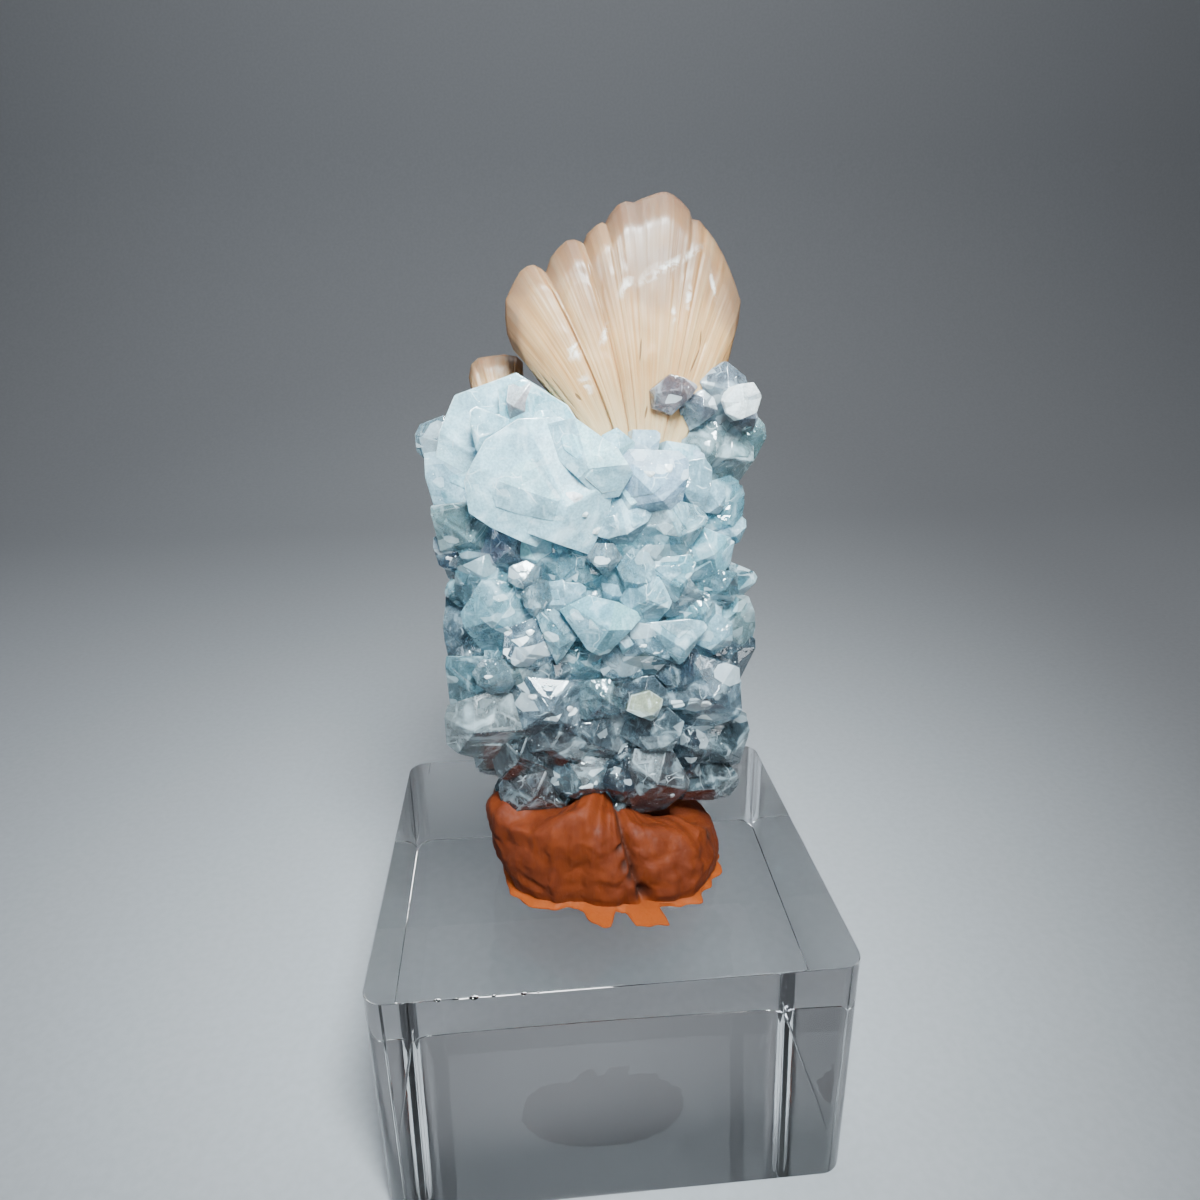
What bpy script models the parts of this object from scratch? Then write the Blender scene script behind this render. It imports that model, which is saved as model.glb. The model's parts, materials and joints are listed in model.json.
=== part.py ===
"""Apophyllite cluster with a stilbite sheaf, held upright by putty on a clear acrylic block.

The tables and helpers work in millimetres, and a mesh becomes metres when its object is made. +X is the
viewer's right, +Y points away from the viewer and +Z is up. The origin is the centre of the block's
underside.
"""

import math
import random
from collections import namedtuple

import bmesh
import bpy
from mathutils import Matrix, Vector

# Driving dimensions, in millimetres.
MM = 0.001
GAP = 0.3
SEED = 11

BLOCK_WIDTH = 50.0
BLOCK_DEPTH = 44.8
BLOCK_HEIGHT = 28.9
BLOCK_CORNER_RADIUS = 2.35
BLOCK_EDGE_BEVEL = 0.25
BLOCK_CORNER_SEGMENTS = 6
# A bevel of this profile is round, and a face this upright is the block's top or underside.
ROUND_PROFILE = 0.5
LEVEL_FACE = 0.9

CLUSTER_CENTRE_Y = 1.0
CORE_SIDES = 12
# Two meshes' points nearer than this are one point, and facets within this angle are one facet.
SAME_POINT = 0.01
FLAT_DEGREES = 0.2
BLADE_FLAT_DEGREES = 0.5
CUT_TOLERANCE = 1e-4
# The intergrown body that the crystals stand on, as (height, half width, half depth).
CORE_PROFILE = (
    (33.0, 3.5, 3.0),
    (37.5, 9.0, 6.0),
    (43.0, 12.0, 8.0),
    (51.0, 13.0, 8.8),
    (58.0, 12.6, 8.6),
    (64.0, 12.6, 8.4),
    (71.0, 12.4, 8.4),
    (77.0, 12.2, 7.8),
    (80.5, 9.0, 5.5),
    (82.5, 3.5, 2.5),
)

# The crystals all round the cluster that no table names: rings of points that face outwards.
RING_LOWEST = 39.0
RING_HIGHEST = 79.5
RING_COUNT = 8
RING_CRYSTALS = 9
FRONT_GAP_DEGREES = 62.0
# A ring crystal's root lies this share of the body's radii out from the middle.
ROOT_SHARE = 0.86
# The lowest ring's crystals point down and the highest ring's point up, in degrees.
LOWEST_RISE = -25.0
HIGHEST_RISE = 35.0
# Chance: along the ring in crystals, up and down in millimetres, and in the pointing direction.
PLACE_CHANCE = 0.2
LEVEL_CHANCE = 1.6
RISE_CHANCE = 0.45
TURN_CHANCE = 0.35
GROWTH_HALF_WIDTH = (2.0, 3.5)
GROWTH_LENGTH = (3.2, 5.0)
GROWTH_FLAT = (0.74, 0.96)
NARROW_SIDE = 0.8
PYRAMID_SLOPE = 52.0

# How far a named crystal reaches back into the body behind its visible end, and which way it runs: away from
# the viewer and down, and towards the middle by a share of its x.
LEAD_DEPTH = 8.0
LEAD_INWARD = -0.035
LEAD_AWAY = 0.93
LEAD_DOWN = -0.30

# The sheaf's blades spread from this root.
SHEAF_ROOT = Vector((4.4, 0.6, 74.0))
SHEAF_ROOT_SPREAD = 0.22
SIDE_SHEAF_ROOT = Vector((-8.2, 3.0, 74.0))
# A blade's cross sections, as (share of the way to the tip, share of the width, share of the thickness).
BLADE_SECTIONS = ((0.0, 0.45, 0.55), (0.45, 0.85, 0.88), (0.88, 1.0, 1.0))
BLADE_CHAMFER = 0.45
BLADE_TIP = 0.2

PUTTY_SIDES = 40
PUTTY_CENTRE = (0.5, -2.5)
PUTTY_HALF_WIDTH = 14.0
PUTTY_HALF_DEPTH = 11.2
PUTTY_HEIGHT = 9.4
PUTTY_REACH = 48.6
# The outline's waves, as (size, waves round the lump, phase in radians).
PUTTY_WAVES = ((0.55, 3, 0.8), (0.35, 7, 0.0), (0.2, 11, 1.0))
PUTTY_CREASE_DEGREES = 283.0
PUTTY_CREASE_WIDTH = 7.0
PUTTY_CREASE_DEPTH = 1.7
# The lump's rings, as (share of the reach, share of the height).
PUTTY_RINGS = ((1.0, 0.0), (1.02, 0.09), (0.95, 0.2), (0.92, 0.45), (0.86, 0.72), (0.74, 0.92), (0.5, 1.0))
PUTTY_HUMP = 0.10
PUTTY_HUMP_PHASE = 2.4
PUTTY_FRONT_RISE = 0.12
# Rings higher than this share of the lump stand up more at its front.
PUTTY_UPPER_SHARE = 0.5

Habit = namedtuple("Habit", "outline summit faces")
Lead = namedtuple("Lead", "name habit x z front width height turn")
Blade = namedtuple("Blade", "tip_x tip_z y width thickness")
Finish = namedtuple("Finish", "colour roughness transmission ior")

# A habit is the visible end of a crystal. The outline goes round it anticlockwise, with x to the right and z
# up, each from -1 to 1. The faces meet at the summit, the point nearest the viewer, and each is (the
# direction in which it falls away, in degrees anticlockwise from +x, and how steeply).
HABITS = {
    "block": Habit(
        ((-0.85, -1), (0.9, -1), (1, -0.8), (1, 0.75), (0.7, 1), (-1, 1), (-1, -0.7)),
        (0.25, -0.45),
        ((100, 14), (205, 24), (325, 38), (265, 48)),
    ),
    "kite": Habit(
        ((0.1, -1), (1, 0.15), (0.5, 0.95), (-0.45, 1), (-1, 0.2)),
        (0.05, -0.35),
        ((35, 26), (150, 30), (250, 46), (310, 42)),
    ),
    "triangle": Habit(
        ((0.05, -1), (1, 0.55), (0.85, 0.95), (-0.8, 1), (-1, 0.7)),
        (0.1, -0.3),
        ((85, 22), (215, 34), (325, 36)),
    ),
    "hexagon": Habit(
        ((-0.45, -1), (0.5, -0.95), (1, -0.05), (0.55, 0.9), (-0.5, 1), (-1, 0.1)),
        (-0.1, 0.1),
        ((20, 28), (100, 24), (185, 30), (265, 36)),
    ),
    "prism": Habit(
        ((-0.95, -0.7), (-0.5, -1), (0.7, -0.95), (1, -0.1), (0.65, 0.85), (-0.6, 1), (-1, 0.3)),
        (0.1, 0.0),
        ((90, 36), (270, 34), (0, 44), (180, 40)),
    ),
    "plate": Habit(
        ((-0.55, -1), (0.75, -0.9), (1, -0.2), (0.85, 0.8), (0.3, 1), (-0.7, 0.6), (-1, -0.3)),
        (0.2, -0.4),
        ((115, 9), (225, 24), (330, 26)),
    ),
    "great plate": Habit(
        (
            (-1, 0.15),
            (-0.97, -0.2),
            (-0.55, -0.5),
            (-0.05, -0.74),
            (0.5, -1),
            (0.7, -0.83),
            (0.78, -0.4),
            (1, 0.1),
            (0.7, 0.64),
            (0.2, 1),
            (-0.3, 0.97),
            (-0.7, 0.7),
        ),
        (0.3, -0.3),
        ((135, 7), (215, 13), (50, 15), (320, 28)),
    ),
    "pick": Habit(
        (
            (0.03, -1),
            (0.28, -0.9),
            (1, 0.28),
            (0.9, 0.5),
            (0.4, 0.8),
            (-0.33, 1),
            (-1, 0.5),
            (-0.9, 0.32),
            (-0.28, -0.76),
        ),
        (0.2, -0.1),
        ((110, 12), (215, 22), (300, 30), (20, 20)),
    ),
    "cap": Habit(
        ((-0.3, -1), (0.7, -0.8), (1, 0), (0.65, 0.9), (-0.3, 0.95), (-1, 0.3), (-0.9, -0.5)),
        (0.1, 0.1),
        ((70, 8), (190, 20), (300, 12)),
    ),
    "drop": Habit(
        ((-0.2, -1), (0.55, -0.8), (1, 0.2), (0.4, 0.95), (-0.6, 0.9), (-1, 0.1)),
        (0.0, -0.25),
        ((60, 30), (160, 32), (270, 40), (340, 34)),
    ),
}

# The crystals that show best on the front, by place in the cluster and from the top down: centre (x, z), the
# front point's y, width, height and turn in degrees. Sizes are in millimetres.
LEADS = (
    Lead("upper left plate", "plate", -10.6, 79.6, -6.5, 10.4, 13.0, -8),
    Lead("clear left tip", "kite", -15.6, 79.3, -4.8, 5.0, 4.6, 75),
    Lead("left edge block", "block", -14.0, 75.3, -6.0, 5.4, 7.0, 6),
    Lead("great milky crystal", "great plate", -5.6, 76.3, -12.0, 14.2, 12.4, 0),
    Lead("long prism beside the sheaf", "plate", -1.4, 79.2, -12.4, 8.8, 4.0, -48),
    Lead("crystal along the sheaf", "plate", -5.9, 82.2, -8.4, 8.4, 4.8, -46),
    Lead("rosy crystal by the sheaf", "kite", -7.5, 83.6, -8.6, 3.0, 3.4, -40),
    Lead("lavender cube", "block", 4.8, 76.0, -11.2, 5.8, 6.2, -4),
    Lead("point right of the cube", "triangle", 9.0, 75.4, -10.6, 3.6, 5.2, 12),
    Lead("wedge under the long prism", "triangle", 2.6, 74.6, -10.4, 4.0, 3.6, -20),
    Lead("upper right crystal", "hexagon", 11.6, 77.6, -8.2, 8.6, 7.6, 20),
    Lead("right shoulder", "kite", 14.4, 79.4, -6.4, 5.4, 5.0, -60),
    Lead("clear grey crystal", "prism", 11.5, 83.8, -9.0, 7.2, 4.6, 34),
    Lead("white faced cap", "cap", 13.2, 83.3, -10.2, 2.5, 2.7, 10),
    Lead("smoky pink crystal", "kite", 7.3, 84.2, -9.8, 3.1, 3.6, 100),
    Lead("grey crystal between them", "prism", 9.4, 82.6, -9.0, 3.6, 2.4, 34),
    Lead("face under the wedge", "kite", 1.8, 72.2, -11.0, 5.8, 4.8, 12),
    Lead("block under the cube", "block", 7.0, 72.0, -10.6, 5.0, 4.2, -24),
    Lead("right middle crystal", "prism", 10.4, 68.8, -10.0, 6.6, 5.0, -18),
    Lead("right edge crystal", "block", 11.9, 72.4, -7.4, 4.6, 6.4, 8),
    Lead("small point in the middle", "kite", 0.1, 68.9, -11.2, 3.0, 3.0, 0),
    Lead("middle block", "block", 4.2, 69.6, -10.4, 4.4, 4.0, 10),
    Lead("small kite", "kite", 3.2, 67.4, -11.4, 3.6, 4.6, -14),
    Lead("hanging point", "triangle", 6.9, 66.6, -11.0, 4.4, 4.4, 6),
    Lead("middle hexagon", "hexagon", 4.4, 64.6, -11.4, 4.4, 5.0, 0),
    Lead("grey green block", "block", -13.4, 71.6, -8.4, 5.6, 5.0, 4),
    Lead("dark sparkling corner", "hexagon", -14.2, 68.8, -7.0, 4.6, 5.2, 30),
    Lead("violet crystal", "prism", -9.2, 69.8, -9.4, 6.8, 4.4, -6),
    Lead("long green crystal", "prism", -12.0, 67.0, -9.2, 7.8, 3.8, 26),
    Lead("small white crystal", "drop", -7.8, 67.5, -10.8, 2.8, 2.6, 20),
    Lead("left recess", "block", -4.6, 68.2, -9.4, 5.0, 6.2, -5),
    Lead("middle recess", "kite", -1.4, 67.4, -9.8, 4.4, 5.4, 10),
    Lead("right recess", "block", 1.8, 66.4, -9.8, 5.0, 5.0, 8),
    Lead("small diamond", "kite", -6.8, 65.0, -10.8, 2.6, 4.0, -10),
    Lead("left middle crystal", "hexagon", -10.4, 62.6, -10.6, 8.4, 8.4, -12),
    Lead("left middle foot", "drop", -7.6, 60.4, -11.2, 5.4, 5.2, 20),
    Lead("hanging left point", "triangle", -4.6, 61.0, -11.0, 4.4, 5.4, -8),
    Lead("bright triangle", "pick", -0.5, 62.6, -12.2, 7.4, 5.8, -4),
    Lead("leaning prism", "prism", -4.0, 64.6, -10.6, 4.8, 3.0, -40),
    Lead("blue triangle", "triangle", 8.4, 65.0, -10.6, 3.8, 4.2, 185),
    Lead("long right crystal", "prism", 12.0, 65.2, -9.6, 4.6, 3.4, -8),
    Lead("right ledge", "prism", 9.4, 63.0, -10.6, 5.6, 2.6, -16),
    Lead("pale hanging crystal", "triangle", 7.6, 60.0, -11.0, 5.6, 4.4, 4),
    Lead("rounded right crystal", "drop", 11.6, 60.4, -10.2, 3.8, 4.4, 24),
    Lead("right plate", "plate", 13.6, 60.0, -7.2, 5.2, 6.6, 10),
    Lead("striped crystal", "hexagon", 4.3, 59.0, -11.0, 4.8, 6.2, 0),
    Lead("clear drop", "drop", -11.4, 57.0, -10.6, 3.6, 3.0, -10),
    Lead("grey lip", "prism", -8.6, 57.4, -10.0, 4.2, 3.0, -25),
    Lead("left edge strip", "block", -14.0, 59.0, -5.4, 4.4, 9.4, 2),
    Lead("pale lower left crystal", "hexagon", -12.6, 51.0, -10.8, 8.8, 7.8, 22),
    Lead("grey blue block", "block", -12.8, 55.2, -8.8, 6.4, 5.6, -3),
    Lead("clear level crystal", "prism", -6.0, 53.6, -11.4, 8.2, 5.8, -4),
    Lead("long low crystal", "prism", -0.4, 54.0, -10.6, 5.4, 3.6, 10),
    Lead("row under the triangle, left", "kite", -5.2, 57.2, -9.8, 4.8, 4.6, 10),
    Lead("row under the triangle, middle", "hexagon", -1.6, 57.2, -9.8, 4.6, 4.6, 0),
    Lead("row under the triangle, right", "kite", 1.4, 57.2, -10.2, 4.2, 5.0, -12),
    Lead("cream crystal", "kite", 4.4, 53.0, -11.2, 2.7, 2.7, 20),
    Lead("clear crystal behind the cream one", "hexagon", 4.2, 53.2, -10.2, 4.8, 5.0, 8),
    Lead("dull grey crystal", "kite", 5.8, 49.0, -9.8, 5.6, 6.2, 14),
    Lead("silver crystal", "hexagon", 11.4, 53.0, -10.4, 7.4, 8.6, -16),
    Lead("dark sparkling crystal", "kite", 8.0, 56.0, -9.8, 4.4, 5.6, 0),
    Lead("grey right block", "block", 12.8, 56.6, -7.4, 6.0, 5.0, -6),
    Lead("low left crystal", "prism", -9.2, 47.2, -9.2, 6.6, 5.8, 10),
    Lead("low middle left crystal", "hexagon", -5.2, 48.0, -9.6, 5.6, 6.2, -10),
    Lead("brown left crystal", "prism", -7.8, 41.9, -8.2, 8.2, 5.0, 5),
    Lead("low sparkling crystal", "drop", -2.4, 43.8, -9.0, 6.0, 5.6, 15),
    Lead("low middle crystal", "hexagon", -1.0, 48.0, -9.2, 5.0, 5.4, 0),
    Lead("rounded brown pink crystal", "hexagon", 6.1, 42.8, -9.6, 6.4, 8.4, 6),
    Lead("low crystal beside it", "kite", 2.0, 43.4, -8.8, 4.6, 6.6, -8),
    Lead("low right crystal", "block", 12.4, 46.0, -6.8, 7.4, 7.2, 5),
    Lead("lowest right crystal", "drop", 12.6, 41.0, -6.4, 6.8, 5.6, -12),
    Lead("crystal over the brown pink one", "prism", 9.4, 46.4, -8.4, 4.6, 5.0, 40),
)

# The sheaf's blades: where the tip stands, its y, and the blade's width and thickness at the shoulder.
SHEAF_BLADES = (
    Blade(-6.6, 88.6, -1.6, 4.4, 4.6),
    Blade(-6.6, 91.6, -2.0, 4.8, 5.0),
    Blade(-5.4, 94.8, -2.6, 5.2, 5.4),
    Blade(-2.0, 96.9, -3.2, 5.6, 5.8),
    Blade(0.9, 98.4, -3.4, 5.2, 6.2),
    Blade(3.4, 100.1, -3.8, 5.6, 6.6),
    Blade(6.0, 101.0, -4.0, 6.2, 6.8),
    Blade(8.2, 98.8, -3.6, 6.0, 6.6),
    Blade(10.4, 96.4, -3.0, 5.8, 6.2),
    Blade(11.8, 93.6, -2.4, 5.4, 5.6),
    Blade(12.0, 90.2, -1.8, 4.6, 5.0),
    Blade(11.4, 86.8, -1.2, 4.0, 4.4),
    Blade(-5.0, 91.2, 1.6, 6.0, 6.0),
    Blade(-1.2, 95.0, 2.0, 6.4, 6.6),
    Blade(3.4, 98.2, 1.8, 6.8, 7.0),
    Blade(7.6, 96.4, 2.2, 6.6, 6.6),
    Blade(10.4, 91.6, 1.4, 5.8, 6.0),
)
SIDE_SHEAF_BLADES = (
    Blade(-11.0, 86.3, 1.2, 3.0, 3.4),
    Blade(-8.7, 86.9, 1.8, 3.2, 3.6),
    Blade(-10.2, 85.2, 4.0, 3.4, 3.4),
)

FINISHES = {
    "apophyllite_cluster": Finish((0.76, 0.87, 0.89), 0.12, 0.6, 1.535),
    "stilbite_sheaf": Finish((0.86, 0.68, 0.52), 0.45, 0.1, 1.5),
    "stilbite_side_sheaf": Finish((0.80, 0.62, 0.48), 0.45, 0.1, 1.5),
    "mounting_putty": Finish((0.74, 0.20, 0.03), 0.7, 0.0, 1.45),
    "display_block": Finish((0.95, 0.96, 0.97), 0.03, 1.0, 1.49),
}


def clear_scene():
    """Removes every object of the startup scene."""
    for old in list(bpy.data.objects):
        bpy.data.objects.remove(old, do_unlink=True)


def make_material(name):
    """The Principled material that FINISHES gives for a piece."""
    finish = FINISHES[name]
    material = bpy.data.materials.new(name)
    material.use_nodes = True
    shader = material.node_tree.nodes["Principled BSDF"]
    shader.inputs["Base Color"].default_value = (*finish.colour, 1.0)
    shader.inputs["Roughness"].default_value = finish.roughness
    shader.inputs["Metallic"].default_value = 0.0
    shader.inputs["Transmission Weight"].default_value = finish.transmission
    shader.inputs["IOR"].default_value = finish.ior
    return material


def object_from(form, name, collection=None):
    """Turns a bmesh in millimetres into an object in metres, and frees the bmesh."""
    bmesh.ops.recalc_face_normals(form, faces=form.faces)
    bmesh.ops.scale(form, vec=(MM, MM, MM), verts=form.verts)
    mesh = bpy.data.meshes.new(name)
    form.to_mesh(mesh)
    form.free()
    made = bpy.data.objects.new(name, mesh)
    (collection or bpy.context.scene.collection).objects.link(made)
    return made


def helper_collection(name):
    """A collection of Boolean operands, which no render shows."""
    group = bpy.data.collections.new(name)
    group.hide_render = True
    bpy.context.scene.collection.children.link(group)
    return group


def add_helper(form, name, group):
    """A Boolean operand, which no render shows."""
    helper = object_from(form, name, group)
    helper.hide_render = True
    helper.display_type = "WIRE"
    return helper


def carve(planes, centre, reach):
    """The convex body behind every plane, cut from a cube. A plane is (point on it, outward normal)."""
    form = bmesh.new()
    bmesh.ops.create_cube(form, size=2 * reach, matrix=Matrix.Translation(centre))
    for point, normal in planes:
        everything = form.verts[:] + form.edges[:] + form.faces[:]
        cut = bmesh.ops.bisect_plane(
            form, geom=everything, dist=CUT_TOLERANCE, plane_co=point, plane_no=normal, clear_outer=True
        )
        rim = [item for item in cut["geom_cut"] if isinstance(item, bmesh.types.BMEdge)]
        if rim:
            bmesh.ops.edgeloop_fill(form, edges=rim)
    return form


def hull_of(points):
    """The convex hull of a few points, as a bmesh."""
    form = bmesh.new()
    for point in points:
        form.verts.new(point)
    hull = bmesh.ops.convex_hull(form, input=form.verts[:])
    unused = [item for item in hull["geom_interior"] if isinstance(item, bmesh.types.BMVert)]
    bmesh.ops.delete(form, geom=unused, context="VERTS")
    flat = math.radians(BLADE_FLAT_DEGREES)
    bmesh.ops.dissolve_limit(form, angle_limit=flat, verts=form.verts, edges=form.edges)
    return form


def lead_planes(lead, swell=0.0):
    """The faces of a named crystal: its sides run back along the growth direction and its front faces meet
    at the summit. swell moves every face outwards."""
    habit = HABITS[lead.habit]
    turn = Matrix.Rotation(-math.radians(lead.turn), 3, "Y")
    centre = Vector((lead.x, lead.front, lead.z))
    growth = Vector((LEAD_INWARD * lead.x, LEAD_AWAY, LEAD_DOWN)).normalized()

    def placed(u, v):
        return centre + turn @ Vector((u * lead.width / 2, 0.0, v * lead.height / 2))

    planes = []
    corners = [placed(u, v) for u, v in habit.outline]
    for here, following in zip(corners, corners[1:] + corners[:1]):
        outward = growth.cross(following - here).normalized()
        planes.append((here + outward * swell, outward))
    summit = placed(*habit.summit)
    for direction, slope in habit.faces:
        lean = math.radians(slope)
        falls = math.radians(direction)
        way = turn @ Vector((math.cos(falls), 0.0, math.sin(falls)))
        outward = Vector((0.0, -math.cos(lean), 0.0)) + way * math.sin(lean)
        planes.append((summit + outward * swell, outward))
    back = centre + growth * (LEAD_DEPTH + swell)
    planes.append((back, growth))
    return planes, centre, 2 * max(lead.width, lead.height) + LEAD_DEPTH


def point_planes(root, axis, spin, half_width, length, flat, swell=0.0):
    """The faces of a tetragonal crystal: four prism sides, a pyramid whose faces stand over the prism's
    edges, and the small flat end that cuts its tip."""
    across = axis.orthogonal().normalized()
    across.rotate(Matrix.Rotation(spin, 3, axis))
    planes = []
    tip = root + axis * length
    for quarter in range(4):
        side = across.copy()
        side.rotate(Matrix.Rotation(quarter * math.pi / 2, 3, axis))
        reach = half_width * (1.0 if quarter % 2 else NARROW_SIDE)
        planes.append((root + side * (reach + swell), side))
        edge = side.copy()
        edge.rotate(Matrix.Rotation(math.pi / 4, 3, axis))
        slope = math.radians(PYRAMID_SLOPE)
        outward = (axis * math.cos(slope) + edge * math.sin(slope)).normalized()
        planes.append((tip + outward * swell, outward))
    planes.append((root + axis * (length * flat + swell), axis))
    planes.append((root - axis * (half_width + swell), -axis))
    return planes, root, 3 * half_width + length


def outer_growths(dice):
    """Arguments of point_planes for the crystals that cover the sides, the back and the top."""
    growths = []
    for ring in range(RING_COUNT):
        height = RING_LOWEST + (RING_HIGHEST - RING_LOWEST) * ring / (RING_COUNT - 1)
        half_width, half_depth = core_radii(height)
        rise = math.radians(LOWEST_RISE + (HIGHEST_RISE - LOWEST_RISE) * ring / (RING_COUNT - 1))
        for place in range(RING_CRYSTALS):
            share = (place + 0.5 * (ring % 2) + dice.uniform(-PLACE_CHANCE, PLACE_CHANCE)) / RING_CRYSTALS
            angle = math.radians(-90 + FRONT_GAP_DEGREES + share * (360 - 2 * FRONT_GAP_DEGREES))
            level = height + dice.uniform(-LEVEL_CHANCE, LEVEL_CHANCE)
            out = Vector((half_width * math.cos(angle), half_depth * math.sin(angle), 0.0)) * ROOT_SHARE
            root = Vector((0.0, CLUSTER_CENTRE_Y, level)) + out
            climb = math.tan(rise + dice.uniform(-RISE_CHANCE, RISE_CHANCE))
            axis = Vector((math.cos(angle), math.sin(angle), climb))
            axis.x += dice.uniform(-TURN_CHANCE, TURN_CHANCE)
            axis.y += dice.uniform(-TURN_CHANCE, TURN_CHANCE)
            growths.append(
                (
                    root,
                    axis.normalized(),
                    dice.uniform(0, math.pi / 2),
                    dice.uniform(*GROWTH_HALF_WIDTH),
                    dice.uniform(*GROWTH_LENGTH),
                    dice.uniform(*GROWTH_FLAT),
                )
            )
    return growths


def core_radii(height):
    """Half width and half depth of the body at a height, between the rings of CORE_PROFILE."""
    for low, high in zip(CORE_PROFILE, CORE_PROFILE[1:]):
        if low[0] <= height <= high[0]:
            share = (height - low[0]) / (high[0] - low[0])
            return tuple(a + (b - a) * share for a, b in zip(low[1:], high[1:]))
    nearest = CORE_PROFILE[0] if height < CORE_PROFILE[0][0] else CORE_PROFILE[-1]
    return nearest[1:]


def core_form(swell=0.0):
    """The body that the crystals share, as a stack of twelve sided rings with closed ends."""
    form = bmesh.new()
    rings = []
    for height, half_width, half_depth in CORE_PROFILE:
        ring = []
        for side in range(CORE_SIDES):
            angle = 2 * math.pi * side / CORE_SIDES
            x = (half_width + swell) * math.cos(angle)
            y = CLUSTER_CENTRE_Y + (half_depth + swell) * math.sin(angle)
            ring.append(form.verts.new((x, y, height)))
        rings.append(ring)
    for low, high in zip(rings, rings[1:]):
        for side in range(CORE_SIDES):
            following = (side + 1) % CORE_SIDES
            form.faces.new((low[side], low[following], high[following], high[side]))
    form.faces.new(rings[0])
    form.faces.new(rings[-1])
    for vertex in rings[0]:
        vertex.co.z -= swell
    for vertex in rings[-1]:
        vertex.co.z += swell
    return form


def blade_points(blade, root, swell=0.0):
    """Corner points of a stilbite blade: narrow at the root, wide at the shoulder, pointed at the tip."""
    tip = Vector((blade.tip_x, blade.y, blade.tip_z))
    spread = Vector((SHEAF_ROOT_SPREAD, 2 * SHEAF_ROOT_SPREAD, 0.0))
    start = root + (tip - root) * spread
    along = (tip - start).normalized()
    across = along.cross(Vector((0.0, 1.0, 0.0))).normalized()
    through = across.cross(along).normalized()
    points = []
    for share, width_share, thickness_share in BLADE_SECTIONS:
        middle = start.lerp(tip, share)
        if share == 0.0:
            middle -= along * swell
        half_width = blade.width / 2 * width_share + swell
        half_thickness = blade.thickness / 2 * thickness_share + swell
        for side in (-1, 1):
            for face in (-1, 1):
                wide = across * (side * half_width)
                deep = through * (face * half_thickness)
                points += [middle + wide + deep * BLADE_CHAMFER, middle + wide * BLADE_CHAMFER + deep]
    for side in (-1, 1):
        points.append(tip + along * swell + across * (side * blade.width * BLADE_TIP))
    return points


def add_boolean(base, operation, operands):
    """Joins a collection of operands to a helper, or cuts them from it."""
    cut = base.modifiers.new(operation.lower(), "BOOLEAN")
    cut.operation = operation
    cut.operand_type = "COLLECTION"
    cut.collection = operands
    cut.solver = "EXACT"


def finish_solid(base, name):
    """Turns a helper and its Booleans into the named piece: one closed outer skin, with its material."""
    bpy.context.view_layer.update()
    graph = bpy.context.evaluated_depsgraph_get()
    form = bmesh.new()
    form.from_mesh(base.evaluated_get(graph).to_mesh())
    keep_outer_skin(form)
    tidy_facets(form)
    mesh = bpy.data.meshes.new(name)
    form.to_mesh(mesh)
    form.free()
    bpy.data.objects.remove(base, do_unlink=True)
    piece = bpy.data.objects.new(name, mesh)
    bpy.context.scene.collection.objects.link(piece)
    piece.data.materials.append(make_material(name))


def keep_outer_skin(form):
    """Deletes every separate shell but the largest: chips cut loose, and pockets closed inside the solid."""
    waiting = set(form.verts)
    shells = []
    while waiting:
        shell = set()
        edge_of_search = [waiting.pop()]
        while edge_of_search:
            vertex = edge_of_search.pop()
            shell.add(vertex)
            for edge in vertex.link_edges:
                other = edge.other_vert(vertex)
                if other in waiting:
                    waiting.remove(other)
                    edge_of_search.append(other)
        shells.append(shell)
    shells.sort(key=len)
    loose = [vertex for shell in shells[:-1] for vertex in shell]
    bmesh.ops.delete(form, geom=loose, context="VERTS")


def tidy_facets(form):
    """Merges points that all but coincide and dissolves the edges that lie within one flat facet."""
    bmesh.ops.remove_doubles(form, verts=form.verts, dist=SAME_POINT * MM)
    flat = math.radians(FLAT_DEGREES)
    bmesh.ops.dissolve_limit(form, angle_limit=flat, verts=form.verts, edges=form.edges)
    bmesh.ops.triangulate(form, faces=form.faces)


def make_cluster(sheaf_sockets):
    """The apophyllite: the shared body, the named crystals and the outer growths joined in one solid."""
    dice = random.Random(SEED)
    crystals = helper_collection("crystals")
    for lead in LEADS:
        add_helper(carve(*lead_planes(lead)), lead.name, crystals)
    for number, growth in enumerate(outer_growths(dice)):
        add_helper(carve(*point_planes(*growth)), f"growth {number}", crystals)
    base = add_helper(core_form(), "core", None)
    add_boolean(base, "UNION", crystals)
    add_boolean(base, "DIFFERENCE", sheaf_sockets)
    finish_solid(base, "apophyllite_cluster")


def make_sheaf(name, root, blades):
    """A stilbite sheaf: its blades joined in one solid."""
    group = helper_collection(name + " blades")
    for number, blade in enumerate(blades[1:], 1):
        add_helper(hull_of(blade_points(blade, root)), f"{name} blade {number}", group)
    base = add_helper(hull_of(blade_points(blades[0], root)), f"{name} blade 0", None)
    add_boolean(base, "UNION", group)
    finish_solid(base, name)


def make_sockets():
    """The room that the two sheaves need in the cluster: their blades, grown by the gap."""
    sockets = helper_collection("sheaf sockets")
    for root, blades in ((SHEAF_ROOT, SHEAF_BLADES), (SIDE_SHEAF_ROOT, SIDE_SHEAF_BLADES)):
        for number, blade in enumerate(blades):
            form = hull_of(blade_points(blade, root, GAP))
            add_helper(form, f"socket {root.x:.0f} {number}", sockets)
    return sockets


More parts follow.
